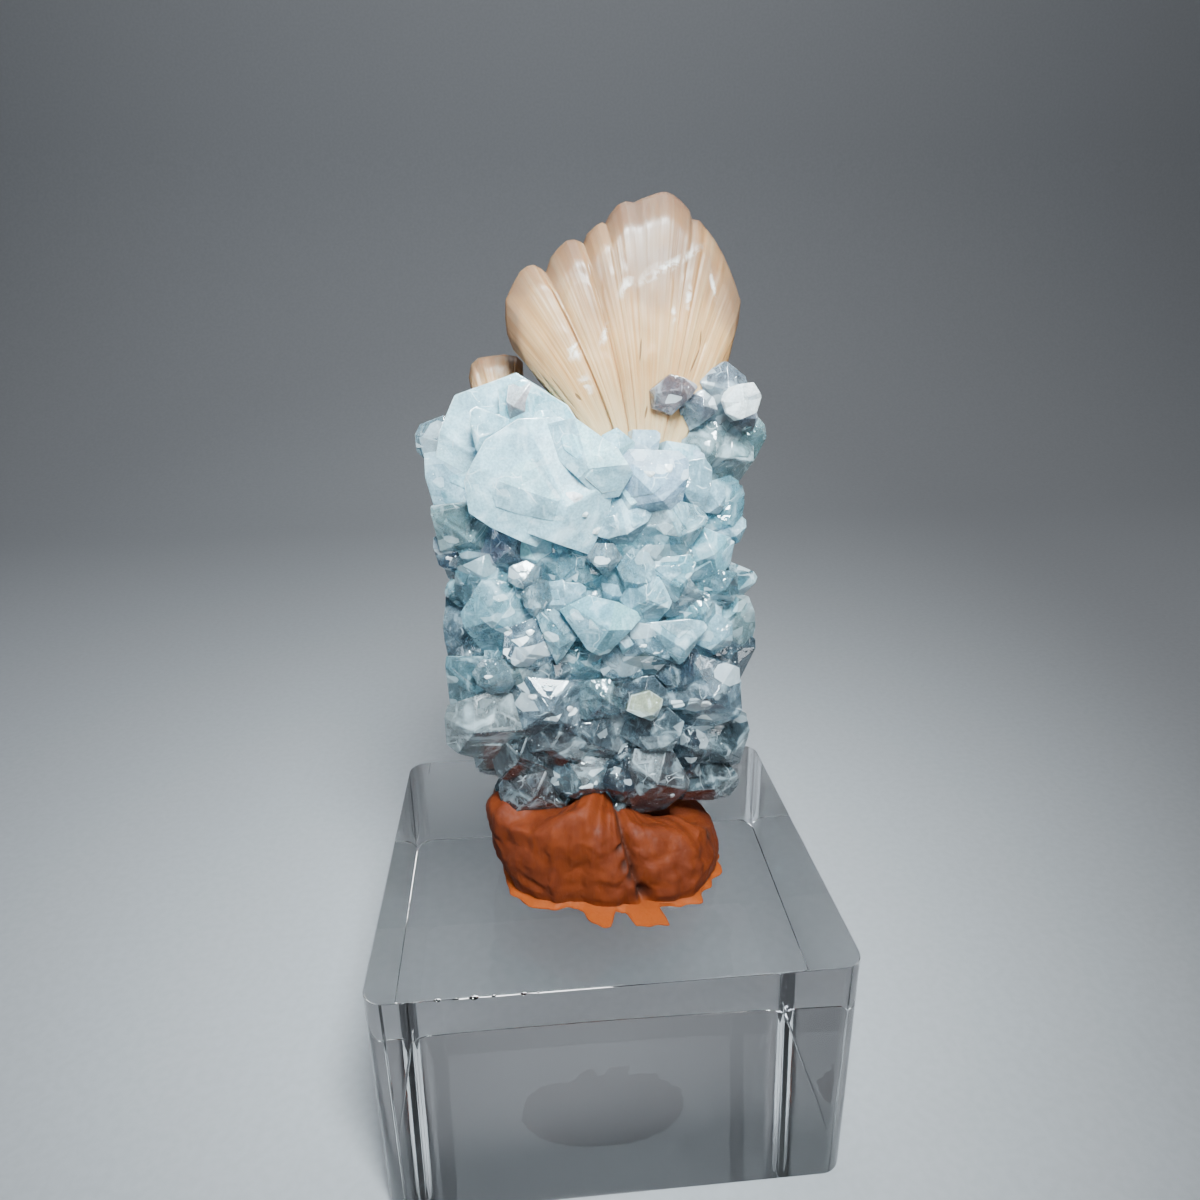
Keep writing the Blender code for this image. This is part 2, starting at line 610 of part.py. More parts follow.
def putty_radius(angle):
    """The putty's reach from its centre in a direction: two lobes to the front, with a crease between."""
    away = math.degrees(angle) - PUTTY_CREASE_DEGREES
    crease = math.exp(-((away / PUTTY_CREASE_WIDTH) ** 2))
    wave = sum(size * math.sin(count * angle + phase) for size, count, phase in PUTTY_WAVES)
    oval = 1.0 / math.hypot(math.cos(angle) / PUTTY_HALF_WIDTH, math.sin(angle) / PUTTY_HALF_DEPTH)
    return oval + wave - PUTTY_CREASE_DEPTH * crease


def putty_form():
    """The lump before the cluster is pressed in: a foot that spreads over the block, and steep lobes."""
    form = bmesh.new()
    floor = BLOCK_HEIGHT + GAP
    rings = []
    for reach, rise in PUTTY_RINGS:
        ring = []
        for side in range(PUTTY_SIDES):
            angle = 2 * math.pi * side / PUTTY_SIDES
            radius = putty_radius(angle) * reach
            hump = 1.0 + PUTTY_HUMP * math.sin(2 * angle + PUTTY_HUMP_PHASE)
            if rise > PUTTY_UPPER_SHARE:
                hump -= PUTTY_FRONT_RISE * math.sin(angle)
            x = PUTTY_CENTRE[0] + radius * math.cos(angle)
            y = PUTTY_CENTRE[1] + radius * math.sin(angle)
            ring.append(form.verts.new((x, y, floor + PUTTY_HEIGHT * rise * hump)))
        rings.append(ring)
    for low, high in zip(rings, rings[1:]):
        for side in range(PUTTY_SIDES):
            following = (side + 1) % PUTTY_SIDES
            form.faces.new((low[side], low[following], high[following], high[side]))
    for ring in (rings[0], rings[-1]):
        middle = sum((vertex.co for vertex in ring), Vector()) / PUTTY_SIDES
        centre = form.verts.new(middle)
        for side in range(PUTTY_SIDES):
            form.faces.new((ring[side], ring[(side + 1) % PUTTY_SIDES], centre))
    return form


def make_putty(cutters):
    """The putty, with the hollow that the cluster pressed in it."""
    base = add_helper(putty_form(), "putty lump", None)
    add_boolean(base, "DIFFERENCE", cutters)
    finish_solid(base, "mounting_putty")


def make_putty_cutters():
    """The cluster's lower crystals and body, grown by the gap, which press the hollow in the putty."""
    dice = random.Random(SEED)
    cutters = helper_collection("putty cutters")
    for lead in LEADS:
        if lead.z - lead.height / 2 < PUTTY_REACH:
            add_helper(carve(*lead_planes(lead, GAP)), lead.name + " pressed", cutters)
    for number, growth in enumerate(outer_growths(dice)):
        if growth[0].z < PUTTY_REACH:
            add_helper(carve(*point_planes(*growth, GAP)), f"growth {number} pressed", cutters)
    add_helper(core_form(GAP), "core pressed", cutters)
    return cutters


def make_block():
    """The acrylic block: upright edges rounded, top and bottom edges only just broken."""
    form = bmesh.new()
    middle = Vector((0.0, 0.0, BLOCK_HEIGHT / 2))
    size = Matrix.Diagonal((BLOCK_WIDTH, BLOCK_DEPTH, BLOCK_HEIGHT, 1.0))
    bmesh.ops.create_cube(form, size=1.0, matrix=Matrix.Translation(middle) @ size)
    upright = [edge for edge in form.edges if abs(edge.verts[0].co.z - edge.verts[1].co.z) > GAP]
    bmesh.ops.bevel(
        form,
        geom=upright,
        offset=BLOCK_CORNER_RADIUS,
        segments=BLOCK_CORNER_SEGMENTS,
        profile=ROUND_PROFILE,
        affect="EDGES",
    )
    caps = [face for face in form.faces if abs(face.normal.z) > LEVEL_FACE]
    rims = list({edge for face in caps for edge in face.edges})
    bmesh.ops.bevel(
        form,
        geom=rims,
        offset=BLOCK_EDGE_BEVEL,
        segments=1,
        profile=ROUND_PROFILE,
        affect="EDGES",
    )
    block = object_from(form, "display_block")
    block.data.materials.append(make_material("display_block"))


def main():
    """Builds the block, the cluster, the two sheaves and the putty."""
    clear_scene()
    make_block()
    sockets = make_sockets()
    make_cluster(sockets)
    make_sheaf("stilbite_sheaf", SHEAF_ROOT, SHEAF_BLADES)
    make_sheaf("stilbite_side_sheaf", SIDE_SHEAF_ROOT, SIDE_SHEAF_BLADES)
    make_putty(make_putty_cutters())


main()
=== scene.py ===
"""Looks of an apophyllite cluster with a stilbite sheaf, held by putty on a clear acrylic block.

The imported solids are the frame, and each class below builds one piece of the specimen or its holder
around them. Places and sizes in the tables are millimetres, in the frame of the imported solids: +X to
the viewer's right, +Y away from the viewer, +Z up, with the origin under the middle of the block.
Meshes are in metres.
"""

from __future__ import annotations

import json
import logging
import math
import random
from dataclasses import dataclass, replace
from enum import Enum
from typing import Sequence

import bmesh
import bpy
import numpy as np
from mathutils import Matrix, Vector, noise

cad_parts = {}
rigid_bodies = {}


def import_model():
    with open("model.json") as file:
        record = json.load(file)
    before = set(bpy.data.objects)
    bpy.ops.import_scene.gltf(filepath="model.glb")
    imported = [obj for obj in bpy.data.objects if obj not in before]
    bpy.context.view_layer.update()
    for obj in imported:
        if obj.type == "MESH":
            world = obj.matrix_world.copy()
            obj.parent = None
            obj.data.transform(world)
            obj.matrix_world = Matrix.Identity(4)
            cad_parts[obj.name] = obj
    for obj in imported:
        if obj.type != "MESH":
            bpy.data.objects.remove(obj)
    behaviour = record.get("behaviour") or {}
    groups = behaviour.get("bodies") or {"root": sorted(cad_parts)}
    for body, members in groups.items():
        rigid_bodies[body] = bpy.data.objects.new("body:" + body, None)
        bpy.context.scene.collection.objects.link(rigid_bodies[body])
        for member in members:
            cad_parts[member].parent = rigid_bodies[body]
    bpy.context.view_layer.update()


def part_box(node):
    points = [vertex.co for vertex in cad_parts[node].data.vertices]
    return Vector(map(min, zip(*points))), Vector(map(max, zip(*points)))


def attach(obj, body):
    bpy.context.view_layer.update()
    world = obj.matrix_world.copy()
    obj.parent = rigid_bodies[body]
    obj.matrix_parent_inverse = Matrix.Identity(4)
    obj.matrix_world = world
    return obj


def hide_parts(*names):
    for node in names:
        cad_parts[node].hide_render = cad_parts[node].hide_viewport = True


LOG = logging.getLogger("apophyllite")

MM = 0.001
PHOTO_SIDE = 1200
SENSOR_WIDTH = 36.0
SEED = 11
ROUND_PROFILE = 0.5
BEVEL_SEGMENTS = 2
ROOT_BODY = "root"
SHEAF_ROOM = 0.12
PUTTY_ROOM = 0.03
PRESSED_BELOW = 44.0
POINT_REACH = 4.0
LEAD_REACH = 0.6

Point2 = tuple[float, float]
Point3 = tuple[float, float, float]
Colour = tuple[float, float, float]
Plane = tuple[Vector, Vector]
Form = bmesh.types.BMesh
Group = bpy.types.Collection
Item = bpy.types.Object
Material = bpy.types.Material
Socket = bpy.types.NodeSocket
Grid = dict[tuple[int, int, int], bmesh.types.BMVert]


# Shading helpers


class Graph:
    """A material's node tree, with one short method for each kind of node that the finishes use."""

    def __init__(self, name: str) -> None:
        """Makes an empty material.

        Args:
            name: The material's name.
        """
        self.material = bpy.data.materials.new(name)
        self.material.use_nodes = True
        self.tree = self.material.node_tree
        self.tree.nodes.clear()
        self.output = self.tree.nodes.new("ShaderNodeOutputMaterial")

    def node(self, kind: str, inputs: dict | None = None, **settings: object) -> bpy.types.Node:
        """Adds a node.

        Args:
            kind: The node's type name.
            inputs: Values or sockets by input name or number.
            settings: Properties of the node itself.

        Returns:
            The new node.
        """
        made = self.tree.nodes.new(kind)
        for key, value in settings.items():
            setattr(made, key, value)
        for key, value in (inputs or {}).items():
            self.feed(made.inputs[key], value)
        return made

    def feed(self, socket: Socket, value: object) -> None:
        """Links a socket, or sets its value.

        Args:
            socket: The input socket.
            value: An output socket to link, or a plain value.
        """
        if isinstance(value, Socket):
            self.tree.links.new(value, socket)
        else:
            socket.default_value = value

    def math(self, operation: str, first: object, second: object = 0.0, clamp: bool = False) -> Socket:
        """One step of arithmetic, with its result kept from 0 to 1 where clamp is set."""
        made = self.node("ShaderNodeMath", {0: first, 1: second}, operation=operation, use_clamp=clamp)
        return made.outputs[0]

    def times(self, first: object, second: object, clamp: bool = False) -> Socket:
        """The product of two values."""
        return self.math("MULTIPLY", first, second, clamp)

    def most(self, first: object, second: object, clamp: bool = False) -> Socket:
        """The larger of two values."""
        return self.math("MAXIMUM", first, second, clamp)

    def span(
        self, value: object, low: float, high: float, to_low: float = 0.0, to_high: float = 1.0
    ) -> Socket:
        """Maps the range from low to high to another, with a smooth ramp and no overshoot."""
        ends = {"Value": value, 1: low, 2: high, 3: to_low, 4: to_high}
        return self.node("ShaderNodeMapRange", ends, interpolation_type="SMOOTHSTEP").outputs[0]

    def vector(self, operation: str, *values: object) -> Socket:
        """One step of vector arithmetic."""
        return self.node("ShaderNodeVectorMath", dict(enumerate(values)), operation=operation).outputs[0]

    def blend(self, share: object, first: object, second: object, mode: str = "MIX") -> Socket:
        """Mixes two colours.

        Args:
            share: How much of the second.
            first: First colour.
            second: Second colour.
            mode: The blend mode.

        Returns:
            The mixed colour.
        """
        made = self.tree.nodes.new("ShaderNodeMix")
        made.data_type = "RGBA"
        made.blend_type = mode
        self.feed(made.inputs[0], share)
        self.feed(made.inputs[6], first)
        self.feed(made.inputs[7], second)
        return made.outputs[2]

    def layer(self, under: object, over: Colour, mask: object, strength: float = 1.0) -> Socket:
        """Lays a colour over another where a mask shows it, as much as strength says."""
        share = mask if strength == 1.0 else self.times(mask, strength)
        return self.blend(share, under, (*over, 1.0))

    def place(self, scale: Point3 = (1.0, 1.0, 1.0), turn: Point3 = (0.0, 0.0, 0.0)) -> Socket:
        """Object coordinates, stretched along each axis and turned by radians about it."""
        inputs = {"Vector": self.node("ShaderNodeTexCoord").outputs["Object"], "Scale": scale}
        return self.node("ShaderNodeMapping", {**inputs, "Rotation": turn}).outputs[0]

    def noise(
        self, vector: object, size: float, detail: float = 4.0, twist: float = 0.0, rough: float = 0.5
    ) -> Socket:
        """Cloudy noise, with a cloud's width in millimetres and how rough its finer levels are."""
        inputs = {"Scale": 1.0 / (size * MM), "Detail": detail, "Roughness": rough, "Distortion": twist}
        return self.node("ShaderNodeTexNoise", {"Vector": vector, **inputs}).outputs[0]

    def cells(self, vector: object, size: float, feature: str = "F1") -> bpy.types.Node:
        """Voronoi cells of a width in millimetres, as the node with its outputs."""
        inputs = {"Vector": vector, "Scale": 1.0 / (size * MM)}
        return self.node("ShaderNodeTexVoronoi", inputs, feature=feature)

    def relief(
        self, height: object, depth: float, strength: object = 1.0, normal: object | None = None
    ) -> Socket:
        """A bump from a height.

        Args:
            height: The height, from 0 to 1.
            depth: What a height of 1 stands for, in millimetres.
            strength: How strongly it shows.
            normal: A normal to add it to.

        Returns:
            The bumped normal.
        """
        inputs = {"Height": height, "Distance": depth * MM, "Strength": strength}
        if normal is not None:
            inputs["Normal"] = normal
        return self.node("ShaderNodeBump", inputs).outputs[0]

    def grey(self, value: object) -> Socket:
        """A grey of that brightness."""
        return self.node("ShaderNodeCombineColor", {0: value, 1: value, 2: value}).outputs[0]

    def attribute(self, name: str, output: str = "Fac") -> Socket:
        """A value stored on the mesh."""
        return self.node("ShaderNodeAttribute", attribute_name=name).outputs[output]

    def surface(self, inputs: dict) -> Material:
        """Ends the tree in a Principled shader.

        Args:
            inputs: Values or sockets of the shader, by name.

        Returns:
            The finished material.
        """
        shader = self.node("ShaderNodeBsdfPrincipled", inputs)
        self.tree.links.new(shader.outputs[0], self.output.inputs["Surface"])
        return self.material

    def absorb(self, colour: Sequence[float], density: float) -> None:
        """Fills the material with a plain absorbing volume, its density being for each metre."""
        inside = self.node("ShaderNodeVolumeAbsorption", {"Color": (*colour, 1.0), "Density": density})
        self.tree.links.new(inside.outputs[0], self.output.inputs["Volume"])


@dataclass(frozen=True)
class CrystalFinish:
    """Apophyllite: clear to milky, pale aqua, with veils and fracture lines, and painted light: fine
    sparkle dots, edge highlights, and light or dark reflections of inner planes.
    """

    ior: float = 1.535
    veil_colour: Colour = (0.74, 0.92, 0.99)
    # Painted highlight colour, and the painted dark of inner planes that mirror no light.
    flash_colour: Colour = (0.88, 0.97, 1.0)
    gloom_colour: Colour = (0.10, 0.14, 0.19)
    absorb_colour: Colour = (0.55, 0.84, 0.92)
    absorb_density: float = 46.0
    subsurface: float = 0.25
    subsurface_radius: Colour = (0.9, 1.15, 1.3)
    subsurface_depth: float = 1.2
    polish: float = 0.35
    polish_roughness: float = 0.03
    fracture_size: float = 2.3
    fracture_width: float = 0.035
    drift_size: float = 1.5
    drift_reach: float = 1.2
    veil_size: float = 3.0
    shard_size: float = 2.8
    small_shards: float = 0.42
    speck_size: float = 0.5
    plane_tilt: float = 0.7

    def build(self) -> Material:
        """Builds the material.

        Returns:
            The apophyllite material. It reads the attributes tint, clear, glitter and edge of the mesh.
        """
        graph = Graph("apophyllite")
        place = graph.place()
        tint = graph.attribute("tint", "Color")
        clear = graph.attribute("clear")
        broken = graph.span(graph.noise(place, 1.3, 2.0), 0.42, 0.6, 0.15, 1.0)
        # Painted highlight: the bevels are lightened as if they caught the light, less on clear crystals,
        # broken by noise.
        edge = graph.times(graph.attribute("edge"), graph.span(clear, 0.3, 0.85, 0.5, 0.22))
        edge = graph.times(edge, broken)
        shards = self.shards(graph)
        # Painted reflections of inner planes, light and dark.
        flash, gloom = self.inner_planes(graph, shards)
        veils = self.veils(graph, place)
        # Painted sparkle highlights.
        painted_sparkles = self.painted_sparkles(graph, place)
        cloud = graph.span(graph.noise(place, 2.4, 3.0, 0.0, 0.64), 0.36, 0.64, 0.76, 1.04)
        grain = graph.span(graph.noise(place, 0.22, 1.0, 0.0, 0.7), 0.3, 0.7, 0.82, 1.12)
        colour = graph.blend(1.0, tint, graph.grey(graph.times(cloud, grain)), "MULTIPLY")
        # Painted dark reflections of inner planes.
        colour = graph.layer(colour, self.gloom_colour, gloom, 0.6)
        colour = graph.layer(colour, self.veil_colour, veils, 0.5)
        lines = self.fractures(graph, place)
        # Painted highlights: flashes, sparkle dots, edges and fracture lines, laid in the flash colour.
        painted_glints = graph.most(flash, graph.most(painted_sparkles, edge))
        painted_glints = graph.most(painted_glints, graph.times(lines, 0.55))
        colour = graph.layer(colour, self.flash_colour, painted_glints)
        fog = graph.times(veils, graph.span(clear, 0.2, 1.0, 0.5, 0.30))
        fog = graph.most(fog, graph.times(painted_glints, 0.8))
        through = graph.times(clear, graph.math("SUBTRACT", 1.0, fog), clamp=True)
        fine = graph.noise(place, 0.35, 2.0)
        rough = graph.math("ADD", graph.span(fine, 0.35, 0.8, 0.02, 0.10), graph.times(veils, 0.10))
        graph.absorb(self.absorb_colour, self.absorb_density)
        return graph.surface({
            "Base Color": colour,
            "Roughness": rough,
            "IOR": self.ior,
            "Transmission Weight": through,
            "Subsurface Weight": self.subsurface,
            "Subsurface Radius": self.subsurface_radius,
            "Subsurface Scale": self.subsurface_depth * MM,
            "Coat Weight": self.polish,
            "Coat Roughness": self.polish_roughness,
            "Normal": self.relief(graph, place, shards),
        })

    def shards(self, graph: Graph) -> bpy.types.Node:
        """Angular cells inside the crystals, like planes of cleavage and fracture."""
        stretched = graph.place((1.0, 0.7, 1.6), (0.4, 0.9, 0.5))
        return graph.cells(stretched, self.shard_size)

    def inner_planes(self, graph: Graph, shards: bpy.types.Node) -> tuple:
        """Painted reflections: where an inner plane is painted as a white flash and where it is painted
        dark.

        Args:
            graph: The material's tree.
            shards: The cells.

        Returns:
            The two masks.
        """
        glitter = graph.attribute("glitter")
        parts = graph.node("ShaderNodeSeparateColor", {0: shards.outputs["Color"]})
        tilted = graph.place((1.0, 0.8, 1.5), (1.2, 0.2, 0.8))
        small = graph.cells(tilted, self.shard_size * self.small_shards)
        fine = graph.node("ShaderNodeSeparateColor", {0: small.outputs["Color"]})
        wide = graph.span(parts.outputs[0], 0.84, 0.92)
        narrow = graph.span(fine.outputs[0], 0.92, 0.97)
        flash = graph.times(graph.most(graph.times(wide, 0.6), narrow), glitter)
        deep = graph.span(parts.outputs[1], 0.35, 0.95)
        dark = graph.times(deep, graph.span(fine.outputs[1], 0.2, 0.8))
        return flash, graph.times(dark, glitter, clamp=True)

    def veils(self, graph: Graph, place: object) -> Socket:
        """Milky veils and stretched wisps.

        Args:
            graph: The material's tree.
            place: Object coordinates.

        Returns:
            The mask.
        """
        clouds = graph.span(graph.noise(place, self.veil_size, 3.0, 1.2, 0.58), 0.46, 0.74)
        wisps = graph.span(graph.noise(graph.place((1.0, 1.0, 0.2), (0.5, 0.7, 0.3)), 0.6, 2.0), 0.56, 0.72)
        return graph.most(clouds, graph.times(wisps, 0.5), clamp=True)

    def fractures(self, graph: Graph, place: object) -> Socket:
        """Thin lines where fractures meet the surface, here and there: real cracks, drawn with a painted
        highlight as if they caught the light.

        Args:
            graph: The material's tree.
            place: Object coordinates.

        Returns:
            The mask.
        """
        slow = {"Vector": place, "Scale": 1.0 / (self.drift_size * MM), "Detail": 0.0}
        drift = graph.node("ShaderNodeTexNoise", slow)
        bent = graph.vector("MULTIPLY_ADD", drift.outputs["Color"], (self.drift_reach * MM,) * 3, place)
        rims = graph.cells(bent, self.fracture_size, "DISTANCE_TO_EDGE").outputs["Distance"]
        near = graph.span(rims, self.fracture_width, 0.0)
        return graph.times(near, graph.span(graph.noise(place, 2.6, 1.0), 0.56, 0.68))

    def painted_sparkles(self, graph: Graph, place: object) -> Socket:
        """Painted sparkle highlights: small white dots, in drifts.

        Args:
            graph: The material's tree.
            place: Object coordinates.

        Returns:
            The mask.
        """
        dots = graph.span(graph.cells(place, self.speck_size).outputs["Distance"], 0.17, 0.08)
        drifts = graph.span(graph.noise(place, 1.6, 1.0), 0.58, 0.66)
        return graph.times(dots, drifts)

    def relief(self, graph: Graph, place: object, shards: bpy.types.Node) -> Socket:
        """Growth striae and etching everywhere, and tilted inner planes where a crystal glitters.

        Args:
            graph: The material's tree.
            place: Object coordinates.
            shards: The cells of the inner planes.

        Returns:
            The normal.
        """
        streaks = graph.noise(graph.place((1.0, 1.0, 0.14), (0.3, 0.2, 0.5)), 0.45, 1.0)
        striae = graph.relief(streaks, 0.05, 0.35)
        etched = graph.relief(graph.noise(place, 1.1, 2.0, 0.0, 0.6), 0.16, 0.4, striae)
        spread = graph.vector("SUBTRACT", shards.outputs["Color"], (0.5, 0.5, 0.5))
        tilt = {0: spread, "Scale": graph.times(graph.attribute("glitter"), self.plane_tilt)}
        amount = graph.node("ShaderNodeVectorMath", tilt, operation="SCALE").outputs[0]
        return graph.vector("NORMALIZE", graph.vector("ADD", etched, amount))


@dataclass(frozen=True)
class Stain:
    """A long soft patch on a piece's front: middle, half length, half width and lean, in mm and degrees."""

    x: float
    z: float
    half_length: float
    half_width: float
    lean: float = 0.0


@dataclass(frozen=True)
class StilbiteFinish:
    """Stilbite: golden peach with rosy tips, pearly, with fibres, pale patches, a few brown cracks and
    painted shade in the lines between blades.
    """

    name: str = "stilbite"
    peach: Colour = (0.44, 0.265, 0.125)
    honey: Colour = (0.42, 0.215, 0.075)
    pale: Colour = (0.60, 0.44, 0.25)
    rose: Colour = (0.155, 0.085, 0.062)
    # Painted shade colour for the lines between blades.
    painted_groove_shade: Colour = (0.40, 0.20, 0.075)
    white: Colour = (0.82, 0.81, 0.77)
    crack: Colour = (0.16, 0.08, 0.03)
    rose_height: Point2 = (86.0, 101.0)
    foot_height: Point2 = (86.0, 79.0)
    wander: float = 12.0
    ior: float = 1.5
    subsurface: float = 0.4
    subsurface_radius: Colour = (1.0, 0.6, 0.38)
    subsurface_depth: float = 2.2
    patches: tuple[Stain, ...] = (
        Stain(-2.2, 87.6, 1.5, 0.9, 0), Stain(0.6, 89.0, 1.4, 0.5, 20), Stain(2.6, 93.2, 1.6, 0.7, 30),
        Stain(6.6, 94.8, 4.6, 0.6, 62), Stain(8.2, 92.0, 1.6, 0.4, 5), Stain(-1.2, 84.6, 1.6, 0.8, -20),
        Stain(6.8, 90.6, 1.0, 0.35, 0), Stain(10.6, 93.0, 2.0, 0.3, -14),
    )
    cracks: tuple[Stain, ...] = (
        Stain(-3.9, 83.8, 2.7, 0.13, -38), Stain(-3.3, 83.9, 2.2, 0.09, -37),
        Stain(-1.9, 83.5, 0.5, 0.17, -40), Stain(3.8, 87.6, 1.2, 0.10, 4),
        Stain(8.9, 86.6, 1.4, 0.10, 24), Stain(4.4, 82.0, 0.7, 0.12, 10),
        Stain(9.4, 88.4, 0.9, 0.08, 4),
    )

    def build(self) -> Material:
        """Builds the material.

        Returns:
            The stilbite material. It reads the attributes fold and fibre, which is the place across the
            fan, along it and through it.
        """
        graph = Graph(self.name)
        place = graph.place()
        fine = self.fibres(graph, (170.0, 2.6, 4.0))
        broad = self.fibres(graph, (24.0, 1.4, 2.0))
        height = graph.node("ShaderNodeSeparateXYZ", {0: place}).outputs[2]
        clouds = graph.noise(place, 5.0, 4.0, 0.6)
        lift = graph.times(graph.math("SUBTRACT", clouds, 0.5), self.wander * MM)
        low, high = (level * MM for level in self.rose_height)
        rosy = graph.span(graph.math("ADD", height, lift), low, high)
        fibre = graph.attribute("fibre", "Vector")
        along = graph.node("ShaderNodeSeparateXYZ", {0: fibre}).outputs[1]
        worn = graph.math("ADD", along, graph.times(graph.math("SUBTRACT", clouds, 0.5), 0.3))
        rosy = graph.most(rosy, graph.span(worn, 0.74, 1.0, 0.0, 0.8))
        colour = graph.blend(graph.span(broad, 0.35, 0.68), (*self.honey, 1.0), (*self.peach, 1.0))
        colour = graph.layer(colour, self.pale, graph.span(fine, 0.42, 0.7, 0.0, 0.4))
        colour = graph.layer(colour, self.rose, rosy, 0.85)
        foot = graph.span(height, *(level * MM for level in self.foot_height))
        colour = graph.layer(colour, self.pale, foot, 0.6)
        # Painted shade in the lines between blades.
        colour = graph.layer(colour, self.painted_groove_shade, graph.attribute("fold"), 0.4)
        ragged = graph.noise(place, 0.9, 5.0, 1.0)
        patchy = graph.times(self.stains(graph, self.patches, 1.0), graph.span(ragged, 0.4, 0.62))
        colour = graph.layer(colour, self.white, patchy, 0.75)
        cracked = self.stains(graph, self.cracks, 0.5)
        colour = graph.layer(colour, self.crack, cracked, 0.9)
        normal = graph.relief(fine, 0.07, 0.35)
        normal = graph.relief(broad, 0.25, 0.2, normal)
        normal = graph.relief(graph.math("SUBTRACT", 1.0, cracked), 0.2, 0.6, normal)
        return graph.surface({
            "Base Color": colour,
            "Roughness": graph.span(fine, 0.3, 0.8, 0.36, 0.56),
            "IOR": self.ior,
            "Transmission Weight": graph.span(rosy, 0.0, 1.0, 0.06, 0.34),
            "Subsurface Weight": self.subsurface,
            "Subsurface Radius": self.subsurface_radius,
            "Subsurface Scale": self.subsurface_depth * MM,
            "Normal": normal,
        })

    def fibres(self, graph: Graph, scale: Sequence[float]) -> Socket:
        """Noise that is stretched along the fibres.

        Args:
            graph: The material's tree.
            scale: Scale across the fan, along it and through it.

        Returns:
            The noise value.
        """
        fibre = graph.attribute("fibre", "Vector")
        lines = graph.node("ShaderNodeMapping", {"Vector": fibre, "Scale": scale}).outputs[0]
        return graph.node("ShaderNodeTexNoise", {"Vector": lines, "Scale": 1.0, "Detail": 4.0}).outputs[0]

    def stains(self, graph: Graph, stains: Sequence[Stain], softness: float) -> Socket:
        """Masks of long patches on the front, joined.

        Args:
            graph: The material's tree.
            stains: The patches.
            softness: How soft their rims are, from 0 to 1.

        Returns:
            The mask.
        """
        source = graph.node("ShaderNodeTexCoord").outputs["Object"]
        joined = 0.0
        for stain in stains:
            moved = graph.vector("SUBTRACT", source, (stain.x * MM, 0.0, stain.z * MM))
            turned = graph.node("ShaderNodeVectorRotate", {"Vector": moved}, rotation_type="Y_AXIS")
            graph.feed(turned.inputs["Angle"], -math.radians(stain.lean))
            size = (1.0 / (stain.half_width * MM), 0.0, 1.0 / (stain.half_length * MM))
            fitted = graph.vector("MULTIPLY", turned.outputs[0], size)
            away = graph.node("ShaderNodeVectorMath", {0: fitted}, operation="LENGTH").outputs["Value"]
            joined = graph.most(joined, graph.span(away, 1.0, 1.0 - 0.9 * softness))
        return joined


@dataclass(frozen=True)
class PuttyFinish:
    """Orange putty: dull, with pressed marks, painted shade in its fold and deep dents, dirt, and a
    brighter rim at the foot.
    """

    orange: Colour = (0.115, 0.018, 0.0015)
    deep: Colour = (0.07, 0.0095, 0.001)
    rim: Colour = (0.24, 0.044, 0.003)
    grime_and_shade: Colour = (0.03, 0.008, 0.004)
    specular: float = 0.22
    subsurface: float = 0.08
    subsurface_radius: Colour = (1.0, 0.35, 0.1)
    subsurface_depth: float = 1.0

    def build(self) -> Material:
        """Builds the material.

        Returns:
            The putty material. It reads the attributes fold and foot of the mesh.
        """
        graph = Graph("putty")
        place = graph.place()
        patches = graph.span(graph.noise(place, 3.0, 5.0, 0.8), 0.36, 0.66)
        colour = graph.blend(graph.times(patches, 0.6), (*self.orange, 1.0), (*self.deep, 1.0))
        # Painted shade in the fold and the deeper dents; the same dark colour also lays dirt below.
        colour = graph.layer(colour, self.grime_and_shade, graph.attribute("fold"))
        colour = graph.layer(colour, self.rim, graph.attribute("foot"))
        dirt = graph.span(graph.noise(place, 0.7, 6.0, 1.0, 0.7), 0.64, 0.76)
        colour = graph.layer(colour, self.grime_and_shade, dirt, 0.5)
        strokes = graph.noise(graph.place((1.0, 1.0, 0.22), (0.2, 0.5, 0.0)), 0.5, 5.0, 0.5)
        normal = graph.relief(strokes, 0.16, 0.5)
        normal = graph.relief(graph.noise(place, 0.18, 3.0), 0.03, 0.5, normal)
        return graph.surface({
            "Base Color": colour,
            "Roughness": graph.span(strokes, 0.3, 0.75, 0.62, 0.85),
            "Specular IOR Level": self.specular,
            "Subsurface Weight": self.subsurface,
            "Subsurface Radius": self.subsurface_radius,
            "Subsurface Scale": self.subsurface_depth * MM,
            "Normal": normal,
        })


@dataclass(frozen=True)
class AcrylicFinish:
    """Clear acrylic: polished, with a faint haze of scuffs and hairline scratches."""

    ior: float = 1.49
    colour: Colour = (0.985, 0.99, 0.995)

    def build(self) -> Material:
        """Builds the material.

        Returns:
            The acrylic material.
        """
        graph = Graph("acrylic")
        place = graph.place()
        haze = graph.span(graph.noise(place, 7.0, 6.0, 1.0, 0.65), 0.5, 0.8)
        hair = graph.noise(graph.place((1.0, 0.03, 1.0), (0.0, 0.0, 0.6)), 0.12, 2.0)
        scratches = graph.span(hair, 0.73, 0.78)
        worn = graph.most(graph.times(haze, 0.5), graph.times(scratches, 0.5))
        return graph.surface({
            "Base Color": (*self.colour, 1.0),
            "Roughness": graph.span(worn, 0.0, 1.0, 0.004, 0.10),
            "IOR": self.ior,
            "Transmission Weight": 1.0,
            "Normal": graph.relief(scratches, 0.01, 0.12),
        })


@dataclass(frozen=True)
class StudioFinish:
    """The plain matt floor and backdrop."""

    colour: Colour = (0.46, 0.47, 0.49)
    darker: float = 0.94
    roughness: float = 0.75

    def build(self) -> Material:
        """Builds the material.

        Returns:
            The floor's material.
        """
        graph = Graph("studio floor")
        grain = graph.noise(graph.place(), 1.2, 3.0)
        darker = tuple(self.darker * part for part in self.colour)
        colour = graph.blend(graph.span(grain, 0.3, 0.7), (*self.colour, 1.0), (*darker, 1.0))
        normal = graph.relief(grain, 0.05, 0.15)
        return graph.surface({"Base Color": colour, "Roughness": self.roughness, "Normal": normal})


# Mesh helpers


